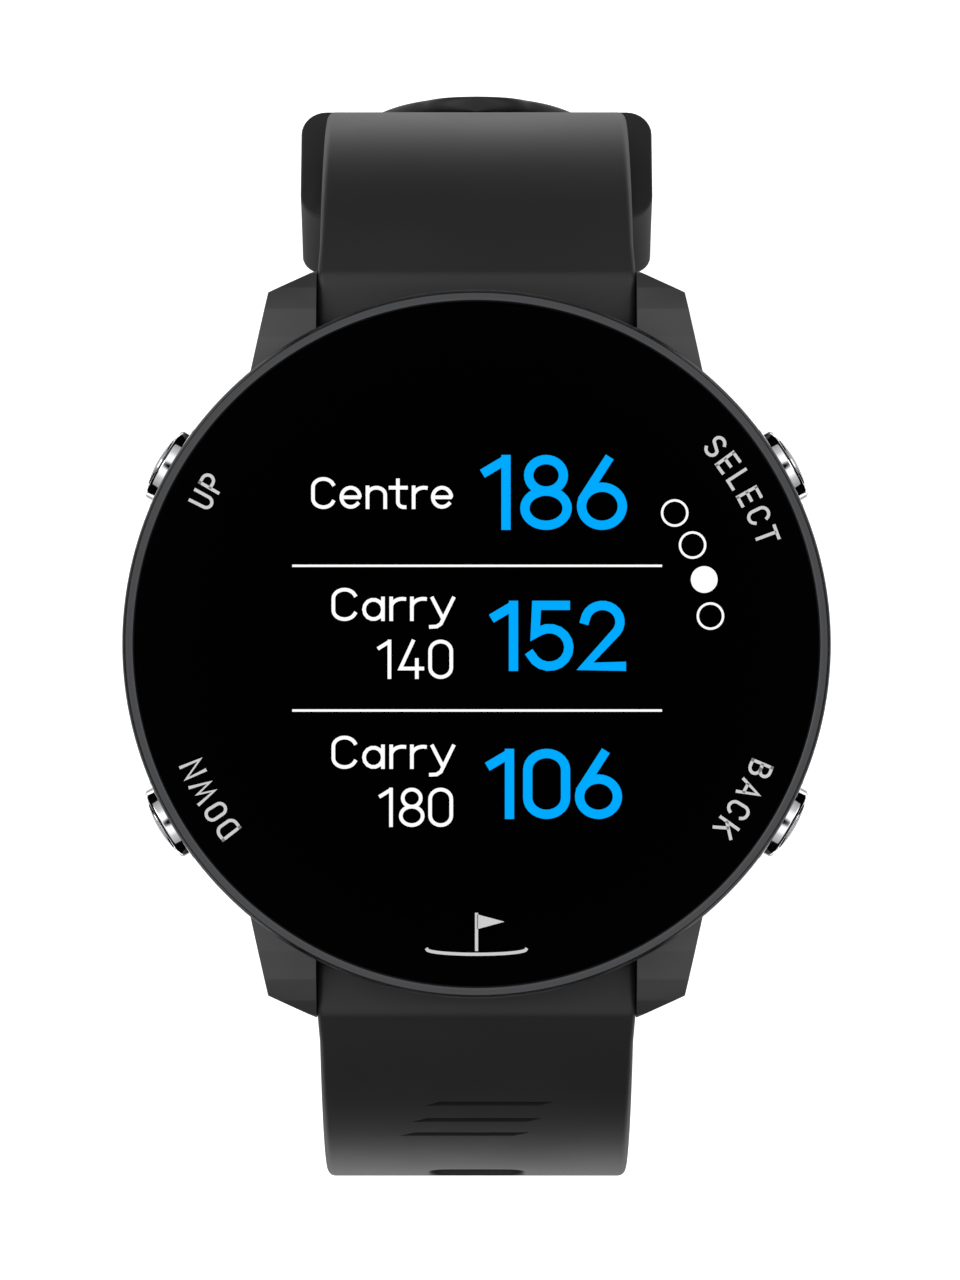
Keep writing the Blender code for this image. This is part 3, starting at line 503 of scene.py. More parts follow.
# ---------------- case
def lug_mesh(side_x, side_y):
    """A lug with its outer side splayed, its end cut slanting and its edges rounded."""
    top = [(15.0, 2.45), (17.4, 2.6), (19.4, 2.95), (21.2, 3.5), (22.6, 4.25), (23.5, 5.1), (24.0, 6.4)]
    low = [(24.0, 9.2), (23.2, 10.3), (21.4, CASE_BOTTOM), (15.0, CASE_BOTTOM)]
    outline = fillet(top + low, 0.8, closed=True)
    mesh = prism("lug", [(side_y * y, d) for y, d in outline], side_x * LUG_INNER_X, side_x * 16)
    work = bmesh.new()
    work.from_mesh(mesh)
    planes = ((14.1, 18.0, LUG_SPLAY), (LUG_INNER_X, 23.75, LUG_SLANT))
    for x, y, angle in planes:
        point = place(side_x * x, side_y * y, 0)
        normal = (side_x * cos(angle), side_y * sin(angle), 0)
        everything = work.verts[:] + work.edges[:] + work.faces[:]
        bmesh.ops.bisect_plane(work, geom=everything, plane_co=point, plane_no=normal, clear_outer=True)
        bmesh.ops.holes_fill(work, edges=work.edges)
    bmesh.ops.recalc_face_normals(work, faces=work.faces)
    work.to_mesh(mesh)
    work.free()
    return edged(mesh, 0.4, 4, 40)


def case_shell():
    profile = [
        (SHELF_R, CASE_TOP), (CASE_R - 0.15, CASE_TOP), (CASE_R, 2.7), (CASE_R, 6.5),
        (CASE_R - 0.5, 8.6), (CASE_R - 1.3, CASE_BOTTOM), (CAVITY_R, CASE_BOTTOM),
        (CAVITY_R, SHELF_DEPTH), (SHELF_R, SHELF_DEPTH),
    ]
    shell = case_lathe("case", profile, 0.25)
    shell = boolean(shell, [lug_mesh(x, y) for x, y in CORNERS], "UNION")
    shelf_r, cavity_r, shelf = SHELF_R + TRIM, CAVITY_R + TRIM, SHELF_DEPTH + TRIM
    bore = [(0, 1), (shelf_r, 1), (shelf_r, shelf), (cavity_r, shelf), (cavity_r, 12), (0, 12)]
    cutters = [case_lathe("bore", bore)]
    for side in (1, -1):
        low, high = sorted((side * NOTCH_Y, side * 30.0))
        notch_x = LUG_INNER_X - 3 * TRIM
        cutters.append(block((-notch_x, low, NOTCH_TOP), (notch_x, high, 12)))
        cutters.append(cross_bore(side * BAR_Y, BAR_DEPTH, BAR_HOLE_R, 32))
    for angle in BUTTONS.values():
        out = radial(angle)
        ends = [out @ Vector((0, 0, z * MM)) for z in (POCKET_FLOOR, 25)]
        cutters.append(rod(COLLAR_OUTER_R + 0.05, *ends))
    for x, y in CORNERS:
        ends = [place(x * SCREW_X, y * SCREW_Y, d) for d in (10, 6.6)]
        cutters.append(rod(0.65, *ends, steps=24))
    piece("case_shell", boolean(shell, cutters), "case", replaces=["case_body"])


def front():
    profile = [
        (BEZEL_INNER_R, 0.3), (BEZEL_INNER_R + 0.14, 0.02), (BEZEL_FLAT_R, 0.0),
        (BEZEL_R - 0.06, 0.34), (BEZEL_R, 0.6), (BEZEL_R, 1.5), (BEZEL_R - 0.35, 2.1),
        (BEZEL_INNER_R, 2.1),
    ]
    mesh = case_lathe("bezel", profile, 0.06, 256)
    piece("bezel", mesh, "bezel", replaces=["bezel_ring"])
    edge = [(0, LENS_TOP), (LENS_R, LENS_TOP), (LENS_R, LENS_BOTTOM), (0, LENS_BOTTOM)]
    mesh = case_lathe("glass", edge, 0.04, 256)
    piece("cover_glass", mesh, "glass", replaces=["lens"])


def case_back():
    profile = [
        (0, 9.2), (17.0, 9.2), (17.0, 9.9), (20.6, 9.9), (20.6, 10.9), (20.0, 11.3), (14.9, 11.3),
        (14.0, 12.0), (0, 12.0),
    ]
    back = case_lathe("back", profile, 0.3)
    spots = [(x * SCREW_X, y * SCREW_Y) for x, y in CORNERS]
    ears = [edged(rod(1.75, place(x, y, 11.3), place(x, y, 9.9)), 0.3) for x, y in spots]
    back = boolean(back, ears, "UNION")
    cutters = []
    for x, y in spots:
        cutters.append(rod(0.75, place(x, y, 12), place(x, y, 9), 32))
        cutters.append(rod(1.3, place(x, y, 12), place(x, y, 10.6), 48))
    contacts = [(i - 1.5) * CONTACT_PITCH for i in range(4)]
    for x in contacts:
        cutters.append(rod(0.95, place(x, CONTACT_Y, 13), place(x, CONTACT_Y, 11.2), 48))
    back = boolean(back, cutters)
    piece("back_cover", back, "back", replaces=["case_back"])
    pad = [(0, 11.3), (0.8, 11.3), (0.8, 11.9), (0, 11.9)]
    for i, x in enumerate(contacts, 1):
        mesh = upright_lathe("pad", pad, x, CONTACT_Y, 0.15)
        piece(f"contact_pad_{i}", mesh, "gold", replaces=[f"charge_contact_{i}"])
    for number, (x, y) in enumerate(((1, 1), (-1, 1), (-1, -1), (1, -1)), 1):
        case_screw(number, x * SCREW_X, y * SCREW_Y)


def upright_lathe(name, profile, x, y, radius, steps=48):
    """A profile of (radius, depth) turned round an upright axis at x, y."""
    to_world = Matrix.Translation(place(x, y, 0))
    points = [(r * MM, -d * MM) for r, d in fillet(profile, radius)]
    return lathe_mesh(name, points, steps, to_world, False)


def case_screw(number, x, y):
    profile = [(0, 6.9), (0.5, 6.9), (0.5, 10.65), (1.2, 10.65), (1.2, 11.2), (0, 11.2)]
    mesh = upright_lathe("screw", profile, x, y, 0.12)
    drive = []
    for turn in (35, 95, 155):
        bar = block((-0.55, -0.13, 10.9), (0.55, 0.13, 11.6))
        middle = place(0, 0, 0)
        spin = Matrix.Translation(place(x, y, 0)) @ Matrix.Rotation(radians(turn), 4, "Z")
        bar.transform(spin @ Matrix.Translation(-middle))
        drive.append(bar)
    mesh = boolean(mesh, drive)
    piece(f"case_screw_{number}", mesh, "screw", replaces=[f"back_screw_{number}"])


# ---------------- buttons
def buttons():
    for name, angle in BUTTONS.items():
        head = [
            *[(r, HEAD_OUT - 0.2 * (r / 1.65) ** 2) for r in (0, 0.4, 0.8, 1.2, 1.5)],
            (HEAD_R - 0.65, HEAD_OUT - 0.21), (HEAD_R - 0.62, HEAD_OUT - 0.33),
            (HEAD_R - 0.12, HEAD_OUT - 0.36), (HEAD_R, HEAD_OUT - 0.5), (HEAD_R, HEAD_IN),
            (STEM_R, HEAD_IN), (STEM_R, STEM_END + 0.5), (0.45, STEM_END + 0.5), (0.45, STEM_END),
            (0, STEM_END),
        ]
        mesh = radial_lathe("head", head, angle, 0.12)
        piece("push_" + name, mesh, "chrome", "button_" + name, ["button_" + name])
        collar = [
            (COLLAR_INNER_R, COLLAR_OUT - 0.12), (COLLAR_INNER_R + 0.12, COLLAR_OUT),
            (COLLAR_OUTER_R - 0.2, COLLAR_OUT), (COLLAR_OUTER_R, COLLAR_OUT - 0.2),
            (COLLAR_OUTER_R, POCKET_FLOOR + 0.05), (COLLAR_INNER_R, POCKET_FLOOR + 0.05),
        ]
        mesh = radial_lathe("collar", collar, angle, 0.1)
        piece("collar_" + name, mesh, "chrome", replaces=["button_collar_" + name])


# ---------------- band
ROOT_STATIONS = 40  # the first stations, next to the case, whose width root_half() gives


def band_mesh(name, stations, edge=0.5, corner=6):
    """A loft through stations of (outer point, inner point, half width) with rounded edges."""
    verts = []
    for outer, inner, half in stations:
        outer, inner = Vector(outer), Vector(inner)
        thick = (outer - inner).length
        through = (outer - inner) / thick
        radius = min(edge, thick * 0.48, half * 0.5)
        for x, t in round_rectangle(half, 0, thick, radius, corner):
            point = inner + through * t
            verts.append(place(x, point.x, point.y))
    return loft(name, verts, len(stations))


def eased(t):
    """A smooth step from 0 at 0 to 1 at 1."""
    t = min(max(t, 0), 1)
    return 3 * t**2 - 2 * t**3


def root_half(pair):
    """The band fills the gap between the lugs, and narrows a little beyond them."""
    return ROOT_HALF + (HALF_WIDTH - ROOT_HALF) * eased((abs(pair[0][0]) - CREASE_Y + 0.6) / 2)


def root_stations():
    """From the band's end at the case, over the crease, to the start of the fall."""
    outer = [(ROOT_Y, ROOT_DEPTH + 0.25), (ROOT_Y + 0.3, ROOT_DEPTH + 0.05), (ROOT_Y + 0.8, ROOT_DEPTH)]
    inner = [(ROOT_Y, ROOT_INNER), (ROOT_Y + 0.3, ROOT_INNER), (ROOT_Y + 0.7, ROOT_INNER)]
    crease_outer = [(21.0, ROOT_DEPTH), (22.2, ROOT_DEPTH), *soft_crease(), FALL_START]
    count = len(crease_outer)
    start, end = Vector((21.0, ROOT_INNER)), Vector((22.0, 9.75))
    inner += [tuple(start.lerp(end, i / (count - 1))) for i in range(count)]
    return list(zip(outer + crease_outer, inner))


def soft_crease():
    """The rounded edge where the flat by the case turns into the fall."""
    before, corner = Vector((22.4, ROOT_DEPTH)), Vector((23.42, ROOT_DEPTH))
    return [rounded(before, corner, Vector(FALL_START), i / 8) for i in range(1, 8)]


def side_stations(thick_end, count=48):
    """Round the side, from the start of the fall to the widest point."""
    made = []
    start = degrees(FALL_ANGLE) - 90
    for i, (y, depth) in enumerate(arc(SIDE_CENTRE, SIDE_R, start, 0, count)):
        t = i / count
        thick = ROOT_THICK + (thick_end - ROOT_THICK) * t**0.7
        angle = radians(start * (1 - t))
        made.append(((y, depth), (y - thick * cos(angle), depth - thick * sin(angle))))
    return made


def turn_stations(centre, outer_r, inner_r, start, end, count):
    outer = arc(centre, outer_r, start, end, count)
    inner = arc(centre, inner_r, start, end, count)
    return list(zip(outer, inner))


def band_upper():
    """The buckle half. Its end swells round the buckle's pin."""
    pairs = root_stations() + side_stations(UPPER_THICK)
    pairs += turn_stations(TURN_CENTRE, TURN_R, TURN_R - UPPER_THICK, 0, 90, 60)[1:]
    inner_flat = BOTTOM - UPPER_THICK
    count = 24
    for i in range(count + 1):
        turn = pi / 2 * i / count
        y = PIN_Y + SWELL - (SWELL + BOSS_R - 0.03) * sin(turn)
        reach = sqrt(max(BOSS_R**2 - (y - PIN_Y) ** 2, 0.04))
        outer = PIN_DEPTH + reach if y < PIN_Y else BOTTOM
        blend = eased((PIN_Y + SWELL - y) / (SWELL / 2))
        inner = inner_flat + (PIN_DEPTH - BOSS_R - inner_flat) * blend
        if y < PIN_Y:
            inner = PIN_DEPTH - reach
        elif y < PIN_Y + SWELL / 2:
            inner = min(inner, PIN_DEPTH - reach)
        pairs.append(((y, outer), (y, inner)))
    halves = [root_half(p) if i < ROOT_STATIONS else HALF_WIDTH for i, p in enumerate(pairs)]
    mesh = band_mesh("upper", [(*pair, half) for pair, half in zip(pairs, halves)])
    bores = [cross_bore(BAR_Y, BAR_DEPTH), cross_bore(PIN_Y, PIN_DEPTH)]
    gap = block((-2.6, PIN_Y - 3, PIN_DEPTH - 3), (2.6, PIN_Y + 2.2, BOTTOM + 1))
    mesh = boolean(mesh, [*bores, edged(gap, 0.4, 3)])
    piece("band_upper", mesh, "silicone", replaces=["strap_upper"])


def tail_point(length):
    """(y, depth, angle) on the tail half's outer surface, that far past its widest point."""
    corner = TAIL_R * pi / 2
    flat = TURN_CENTRE[0] - LOWER_CENTRE[0]
    radius = TAIL_R
    if length < 0:
        radius, centre = SIDE_R, (-SIDE_CENTRE[0], SIDE_CENTRE[1])
        turn = pi - length / SIDE_R
    elif length < corner:
        turn = pi - length / TAIL_R
        centre = LOWER_CENTRE
    elif length < corner + flat:
        return LOWER_CENTRE[0] + length - corner, TAIL_BOTTOM, pi / 2
    else:
        turn = pi / 2 - (length - corner - flat) / TAIL_R
        centre = TURN_CENTRE
    return centre[0] + radius * cos(turn), centre[1] + radius * sin(turn), turn


def slot_mesh(index):
    """A slot with round corners through the band, its rim flared a little on the outside."""
    start = TAIL_R * pi / 2 + TANG_SLOT_Y - LOWER_CENTRE[0]
    y, depth, angle = tail_point(start + (index - TANG_SLOT) * SLOT_PITCH)
    radial_out = Vector((0, cos(angle), -sin(angle)))
    along = Vector((0, -sin(angle), -cos(angle)))
    verts = []
    levels = [(-4.0, 0.0), (-0.3, 0.0), (-0.12, 0.06), (0.0, 0.22), (0.15, 0.5)]
    for out, grow in levels:
        half_x, half_y = SLOT_WIDTH / 2 + grow, SLOT_LENGTH / 2 + grow
        for x, v in round_rectangle(half_x, -half_y, half_y, SLOT_CORNER + grow, 8):
            verts.append(place(x, y, depth) + along * v * MM + radial_out * out * MM)
    return loft("slot", verts, len(levels))


def tail_half_width(pair):
    """The half width near the tip, an ellipse that ends at the corner's start."""
    (y, depth), _ = pair
    if y < TURN_CENTRE[0]:
        return HALF_WIDTH
    turn = atan2(depth - TURN_CENTRE[1], y - TURN_CENTRE[0])
    to_tip = turn * TAIL_R
    if to_tip >= TIP_LENGTH:
        return HALF_WIDTH
    from_tip = to_tip / TIP_LENGTH
    point = TIP_POINT - (TIP_POINT - 0.5) * max(0, 1 - from_tip / TIP_ROUND)
    return max(HALF_WIDTH * (1 - (1 - from_tip) ** 2) ** point, 0.35)


def on_turn(radius, turn):
    return TURN_CENTRE[0] + radius * cos(turn), TURN_CENTRE[1] + radius * sin(turn)


def tip_radius(turn):
    """The tail's outer radius: it thins to its tip."""
    thin, full = (radians(angle) for angle in TIP_TAPER)
    return TAIL_R - (TAIL_THICK - TIP_THICK) * eased((full - turn) / (full - thin))


def band_lower():
    """The tail half, with its row of slots and rounded tip."""
    pairs = []
    for (y0, d0), (y1, d1) in root_stations() + side_stations(TAIL_THICK):
        pairs.append(((-y0, d0), (-y1, d1)))
    pairs += turn_stations(LOWER_CENTRE, TAIL_R, TAIL_INNER_R, 180, 90, 72)[1:]
    tip_turn = max(degrees(TIP_LENGTH / TAIL_R), TIP_TAPER[1])
    pairs += turn_stations(TURN_CENTRE, TAIL_R, TAIL_INNER_R, 90, tip_turn, 48)
    count = 40
    for i in range(1, count + 1):
        t = 1 - (1 - i / count) ** 2
        turn = radians(tip_turn) * (1 - t)
        pairs.append((on_turn(tip_radius(turn), turn), on_turn(TAIL_INNER_R, turn)))
    halves = [root_half(p) if i < ROOT_STATIONS else tail_half_width(p) for i, p in enumerate(pairs)]
    mesh = band_mesh("lower", [(*pair, half) for pair, half in zip(pairs, halves)])
    cutters = [cross_bore(-BAR_Y, BAR_DEPTH)] + [slot_mesh(i) for i in range(SLOTS)] + groove_meshes()
    mesh = boolean(mesh, cutters)
    piece("band_lower", mesh, "silicone", replaces=["strap_lower"])


def side_frame(angle):
    """(point, along, out) on the 6 o'clock side's outer surface at this angle, in the frame."""
    a = radians(angle)
    y, depth = SIDE_CENTRE[0] + SIDE_R * cos(a), SIDE_CENTRE[1] + SIDE_R * sin(a)
    out = Vector((0, -cos(a), -sin(a)))
    along = Vector((0, -sin(a), cos(a))) * -1
    return place(0, -y, depth), along, out


def groove_meshes():
    """Three slanting grooves pressed into the band, a plain decoration."""
    made = []
    for row, (low_x, high_x) in enumerate(((-3.4, 5.0), (-4.2, 4.2), (-5.0, 3.4))):
        point, along, out = side_frame(-33.3 + row * 3.4)
        verts = []
        for lift, spread in ((-GROOVE_DEPTH, 0.0), (GROOVE_DEPTH, 0.04)):
            for x, side in ((low_x + 1, -1), (high_x, -1), (high_x - 1, 1), (low_x, 1)):
                offset = Vector(((x + (spread if x > 0 else -spread)) * MM, 0, 0))
                wide = side * (GROOVE_HALF + spread)
                verts.append(point + offset + along * wide * MM + out * lift * MM)
        made.append(loft("groove", verts, 2))
    return made


# ---------------- keepers and buckle
def loop_mesh(block_stations, hole_stations):
    """A keeper: a block with round long edges, hollowed, and its end rims eased."""
    block_mesh = band_mesh("keeper", block_stations, 1.75, 8)
    hole = band_mesh("hole", hole_stations, 0.5, 4)
    return edged(boolean(block_mesh, [hole]), 0.3, 3, 50)


def keeper_free():
    """The loop that slides along the curve of the band."""
    start, end = FREE_KEEPER
    inner_r, outer_r = TURN_R - UPPER_THICK - KEEPER_SLACK, TAIL_R + KEEPER_SLACK
    wall = turn_stations(TURN_CENTRE, outer_r + 1.5, inner_r - 1.6, start, end, 12)
    hole = turn_stations(TURN_CENTRE, outer_r, inner_r, start - 6, end + 6, 16)
    mesh = loop_mesh([(*p, KEEPER_HALF_X) for p in wall], [(*p, KEEPER_INSIDE_X) for p in hole])
    piece("keeper_loop_free", mesh, "silicone", "keeper_free", ["keeper_free"])


def keeper_fixed():
    """The loop by the buckle, fixed to the buckle half."""
    low_y, high_y = FIXED_KEEPER_Y
    top, base = BOTTOM - UPPER_THICK - KEEPER_SLACK, TAIL_BOTTOM + KEEPER_SLACK
    wall = [((y, 62.5), (y, top - 1.5), KEEPER_HALF_X) for y in (low_y, (low_y + high_y) / 2, high_y)]
    hole = [((y, base), (y, top), KEEPER_INSIDE_X) for y in (low_y - 5, high_y + 5)]
    mesh = loop_mesh(wall, hole)
    piece("keeper_loop_fixed", mesh, "silicone", replaces=["keeper_fixed"])


def capsule(start, end, start_r, end_r, count=20):
    """The outline round two points of (y, depth)."""
    heading = degrees(atan2(end[1] - start[1], end[0] - start[0]))
    ends = arc(end, end_r, heading - 90, heading + 90, count)
    return ends + arc(start, start_r, heading + 90, heading + 270, count)


def buckle():
    pin, front_bar = (PIN_Y, PIN_DEPTH), (FRONT_Y, FRONT_DEPTH)
    half = (ARM_X[0] + ARM_X[1]) / 2
    bar = rod(1.0, place(-half, *front_bar), place(half, *front_bar), 64)
    arms = []
    for side in (1, -1):
        low, high = sorted((side * ARM_X[0], side * ARM_X[1]))
        arms.append(edged(prism("arm", capsule(pin, front_bar, 1.1, 1.1), low, high), 0.3, 4, 50))
    frame_mesh = boolean(bar, arms, "UNION")
    bore = cross_bore(*pin)
    seat = block((-2.5, FRONT_Y - 2, FRONT_DEPTH - 0.05), (2.5, FRONT_Y + 2, FRONT_DEPTH + 2))
    frame_mesh = boolean(frame_mesh, [bore, seat])
    piece("clasp_frame", frame_mesh, "buckle", replaces=["buckle_frame"])
    to_world = Matrix.Translation(place(0, *pin)) @ Matrix.Rotation(pi / 2, 4, "Y")
    end = ARM_X[1]
    profile = fillet([(0, -end), (0.75, -end), (0.75, end), (0, end)], 0.25)
    mesh = lathe_mesh("pin", [(r * MM, z * MM) for r, z in profile], 48, to_world, False)
    piece("clasp_pin", mesh, "steel", replaces=["buckle_pin"])
    tang()


def smooth_path(points, per_span=6):
    """A Catmull-Rom curve through points of (y, depth)."""
    points = [Vector(p) for p in points]
    padded = [2 * points[0] - points[1], *points, 2 * points[-1] - points[-2]]
    made = []
    for i in range(1, len(padded) - 2):
        a, b, c, d = padded[i - 1 : i + 3]
        for k in range(per_span):
            t = k / per_span
            bend, twist = 2 * a - 5 * b + 4 * c - d, 3 * b - 3 * c + d - a
            made.append(0.5 * (2 * b + (c - a) * t + bend * t**2 + twist * t**3))
    return made + [points[-1]]


def tang():
    """A bent strip with a rolled knuckle round the pin."""
    middle = smooth_path(
        [(1.3, 57.0), (0.2, 57.05), (-1.0, 57.3), (-2.2, 57.95), (-4.2, 60.1)]
        + [(-5.4, 61.15), (-6.9, 61.8), (-8.4, 61.95), (-10.6, 61.95)]
    )
    stations = []
    for i, point in enumerate(middle):
        run = middle[min(i + 1, len(middle) - 1)] - middle[max(i - 1, 0)]
        side = Vector((-run.y, run.x)).normalized() * 0.49
        to_tip = (point - middle[-1]).length
        half = 2.3 * sqrt(max(1 - max(1 - to_tip / 1.6, 0) ** 2, 0.05))
        stations.append((tuple(point - side), tuple(point + side), half))
    strip = band_mesh("tang", stations, 0.25, 4)
    pin = (PIN_Y, PIN_DEPTH)
    knuckle = edged(rod(1.45, place(-2.3, *pin), place(2.3, *pin), 64), 0.2, 3)
    mesh = boolean(knuckle, [strip], "UNION")
    mesh = boolean(mesh, [rod(0.83, place(-5, *pin), place(5, *pin))])
    piece("clasp_tang", mesh, "buckle", "buckle_tang", ["buckle_tang"])


# ---------------- lettering
def stroke_arc(cx, cy, rx, ry, start, end, count=14):
    angles = [radians(start + (end - start) * i / count) for i in range(count + 1)]
    return [(cx + rx * cos(a), cy + ry * sin(a)) for a in angles]


def glyphs():
    """Strokes of each sign in a box one cap height tall: (width, [polylines])."""
    bend = stroke_arc
    ring = bend(0.27, 0.73, 0.27, 0.27, 0, 180) + bend(0.27, 0.27, 0.27, 0.27, 180, 360)
    stem = [(0, 0), (0, 1)]
    b_top = bend(0.24, 0.76, 0.24, 0.24, 80, -90) + [(0.05, 0.52)]
    b_foot = bend(0.26, 0.26, 0.27, 0.26, 80, -90) + [(0, 0)]
    d_bowl = bend(0.26, 0.7, 0.3, 0.3, 80, 0) + bend(0.26, 0.3, 0.3, 0.3, 0, -90) + [(0, 0)]
    p_bowl = bend(0.26, 0.72, 0.28, 0.28, 80, -90) + [(0.05, 0.44)]
    t_hook = bend(0.29, 0.18, 0.16, 0.18, 180, 275, 6)
    return {
        "0": (0.54, [ring + ring[:1]]),
        "1": (0.34, [[(0.02, 0.82), (0.24, 0.97)], [(0.28, 0), (0.28, 1)]]),
        "2": (0.54, [bend(0.27, 0.73, 0.25, 0.27, 172, -38) + [(0.02, 0), (0.54, 0)]]),
        "4": (0.58, [[(0.34, 1), (0.02, 0.24), (0.58, 0.24)], [(0.44, 0.48), (0.44, 0)]]),
        "5": (0.54, [[(0.48, 1), (0.07, 1), (0.05, 0.54)] + bend(0.25, 0.31, 0.28, 0.31, 118, -155)]),
        "6": (0.54, [bend(0.27, 0.29, 0.27, 0.29, 0, 360, 36), [(0.036, 0.435), (0.34, 0.98)]]),
        "8": (0.54, [bend(0.27, 0.76, 0.23, 0.24, 0, 360, 32), bend(0.27, 0.26, 0.28, 0.26, 0, 360, 32)]),
        "A": (0.62, [[(0, 0), (0.31, 0.97), (0.62, 0)], [(0.14, 0.28), (0.48, 0.28)]]),
        "B": (0.54, [stem, [(0, 1), (0.24, 1)] + b_top, [(0.24, 0.52)] + b_foot]),
        "C": (0.54, [bend(0.27, 0.7, 0.27, 0.3, 22, 180) + bend(0.27, 0.3, 0.27, 0.3, 180, 338)]),
        "D": (0.56, [stem, [(0, 1), (0.24, 1)] + d_bowl]),
        "E": (0.48, [stem] + [[(0.05, y), (x, y)] for x, y in ((0.46, 0), (0.41, 0.5), (0.46, 1))]),
        "K": (0.56, [stem, [(0.5, 0.98), (0.04, 0.38)], [(0.22, 0.56), (0.54, 0.02)]]),
        "L": (0.46, [[(0, 1), (0, 0), (0.44, 0)]]),
        "N": (0.58, [[(0, 0), (0, 1), (0.58, 0), (0.58, 1)]]),
        "O": (0.54, [ring + ring[:1]]),
        "P": (0.54, [stem, [(0, 1), (0.26, 1)] + p_bowl]),
        "S": (0.54, [bend(0.27, 0.75, 0.25, 0.25, 30, 215) + bend(0.27, 0.26, 0.27, 0.26, 35, -150)]),
        "T": (0.54, [[(0, 1), (0.54, 1)], [(0.27, 0.9), (0.27, 0)]]),
        "U": (0.56, [[(0, 1)] + bend(0.28, 0.28, 0.28, 0.28, 180, 360) + [(0.56, 1)]]),
        "W": (0.86, [[(0, 1), (0.2, 0.03), (0.43, 0.84), (0.66, 0.03), (0.86, 1)]]),
        "a": (0.46, [bend(0.23, 0.33, 0.23, 0.33, 0, 360), [(0.46, 0.7), (0.46, 0)]]),
        "e": (0.48, [[(0.05, 0.35), (0.46, 0.35)] + bend(0.24, 0.35, 0.24, 0.34, 8, 318, 28)]),
        "n": (0.46, [[(0, 0), (0, 0.7)], bend(0.23, 0.44, 0.23, 0.25, 175, 0) + [(0.46, 0)]]),
        "r": (0.3, [[(0, 0), (0, 0.7)], bend(0.27, 0.4, 0.27, 0.29, 170, 80)]),
        "t": (0.34, [[(0.13, 0.95), (0.13, 0.2)] + t_hook, [(-0.06, 0.69), (0.34, 0.69)]]),
        "y": (0.48, [[(0, 0.7), (0.25, 0.02)], [(0.5, 0.7), (0.2, -0.16), (0.1, -0.25), (-0.04, -0.26)]]),
    }


GLYPHS = glyphs()
LETTER_GAP, LEGEND_GAP = 0.2, 0.42  # between signs, in cap heights
SCREEN_DEPTH = LENS_TOP - 0.012


def text_width(text, gap=LETTER_GAP):
    return sum(GLYPHS[c][0] for c in text) + gap * (len(text) - 1)


def ribbon(verts, faces, points, half):
    """A flat strip along points on the glass. Square ends reach half a width past the ends."""
    points = [Vector(p) for p in points]
    closed = (points[0] - points[-1]).length < 1e-6
    if closed:
        points = points[:-1]
    elif not isinstance(half, list):
        points[0] = points[0] + (points[0] - points[1]).normalized() * half
        points[-1] = points[-1] + (points[-1] - points[-2]).normalized() * half
    count = len(points)
    base = len(verts)
    for i, point in enumerate(points):
        before = points[i - 1] if closed or i > 0 else None
        after = points[(i + 1) % count] if closed or i < count - 1 else None
        runs = [(b - a).normalized() for a, b in ((before, point), (point, after)) if a and b]
        run = sum(runs, Vector((0, 0))).normalized()
        widen = 1 / max(run.dot(runs[0]), 0.5)
        side = Vector((-run.y, run.x)) * (half[i] if isinstance(half, list) else half) * widen
        verts.extend((point + side, point - side))
    last = count if closed else count - 1
    for i in range(last):
        a, b = base + 2 * i, base + 2 * ((i + 1) % count)
        faces.append([a, a + 1, b + 1, b])


def text_strokes(text, height, width_scale=1.0, gap=LETTER_GAP):
    """Polylines of a word in millimetres, its start at the origin on the base line."""
    made, cursor = [], 0.0
    for sign in text:
        width, strokes = GLYPHS[sign]
        for stroke in strokes:
            made.append([((cursor + x) * height * width_scale, y * height) for x, y in stroke])
        cursor += width + gap
    return made


def solid_strips(name, strips, look, thickness=0.012):
    """Flat strips on the glass as one thin closed mesh. strips are (polyline, half width)."""
    verts, faces = [], []
    for points, half in strips:
        ribbon(verts, faces, points, half)
    count = len(verts)
    solid = [place(x, y, SCREEN_DEPTH + drop) for drop in (0, thickness) for x, y in verts]
    shapes, edges = [], {}
    for face in faces:
        shapes += [face, [count + i for i in reversed(face)]]
        for a, b in zip(face, face[1:] + face[:1]):
            edges[frozenset((a, b))] = edges.get(frozenset((a, b)), []) + [(a, b)]
    for uses in edges.values():
        if len(uses) == 1:
            a, b = uses[0]
            shapes.append([b, a, count + a, count + b])
    piece(name, mesh_of(name, solid, shapes, weld=False), look)


def word(text, right, base, height, half, width_scale=1.0):
    """A word's strokes. Its ink ends at right, stands on base and is height tall."""
    tall = height - 2 * half
    shift = right - half - text_width(text) * tall * width_scale
    strokes = text_strokes(text, tall, width_scale)
    return [([(x + shift, y + base + half) for x, y in stroke], half) for stroke in strokes]


def legend(text, start, end, base_r=18.68, height=1.5, half=0.1):
    """A word round the display, its first sign centred at start and its last at end."""
    width = text_width(text, LEGEND_GAP)
    first, last = GLYPHS[text[0]][0] / 2, width - GLYPHS[text[-1]][0] / 2
    made = []
    for stroke in text_strokes(text, 1.0, 1.0, LEGEND_GAP):
        bent = []
        for x, y in stroke:
            angle = radians(start + (end - start) * (x - first) / (last - first))
            radius = base_r + half + y * (height - 2 * half)
            bent.append((radius * cos(angle), radius * sin(angle)))
        made.append((bent, half))
    return made


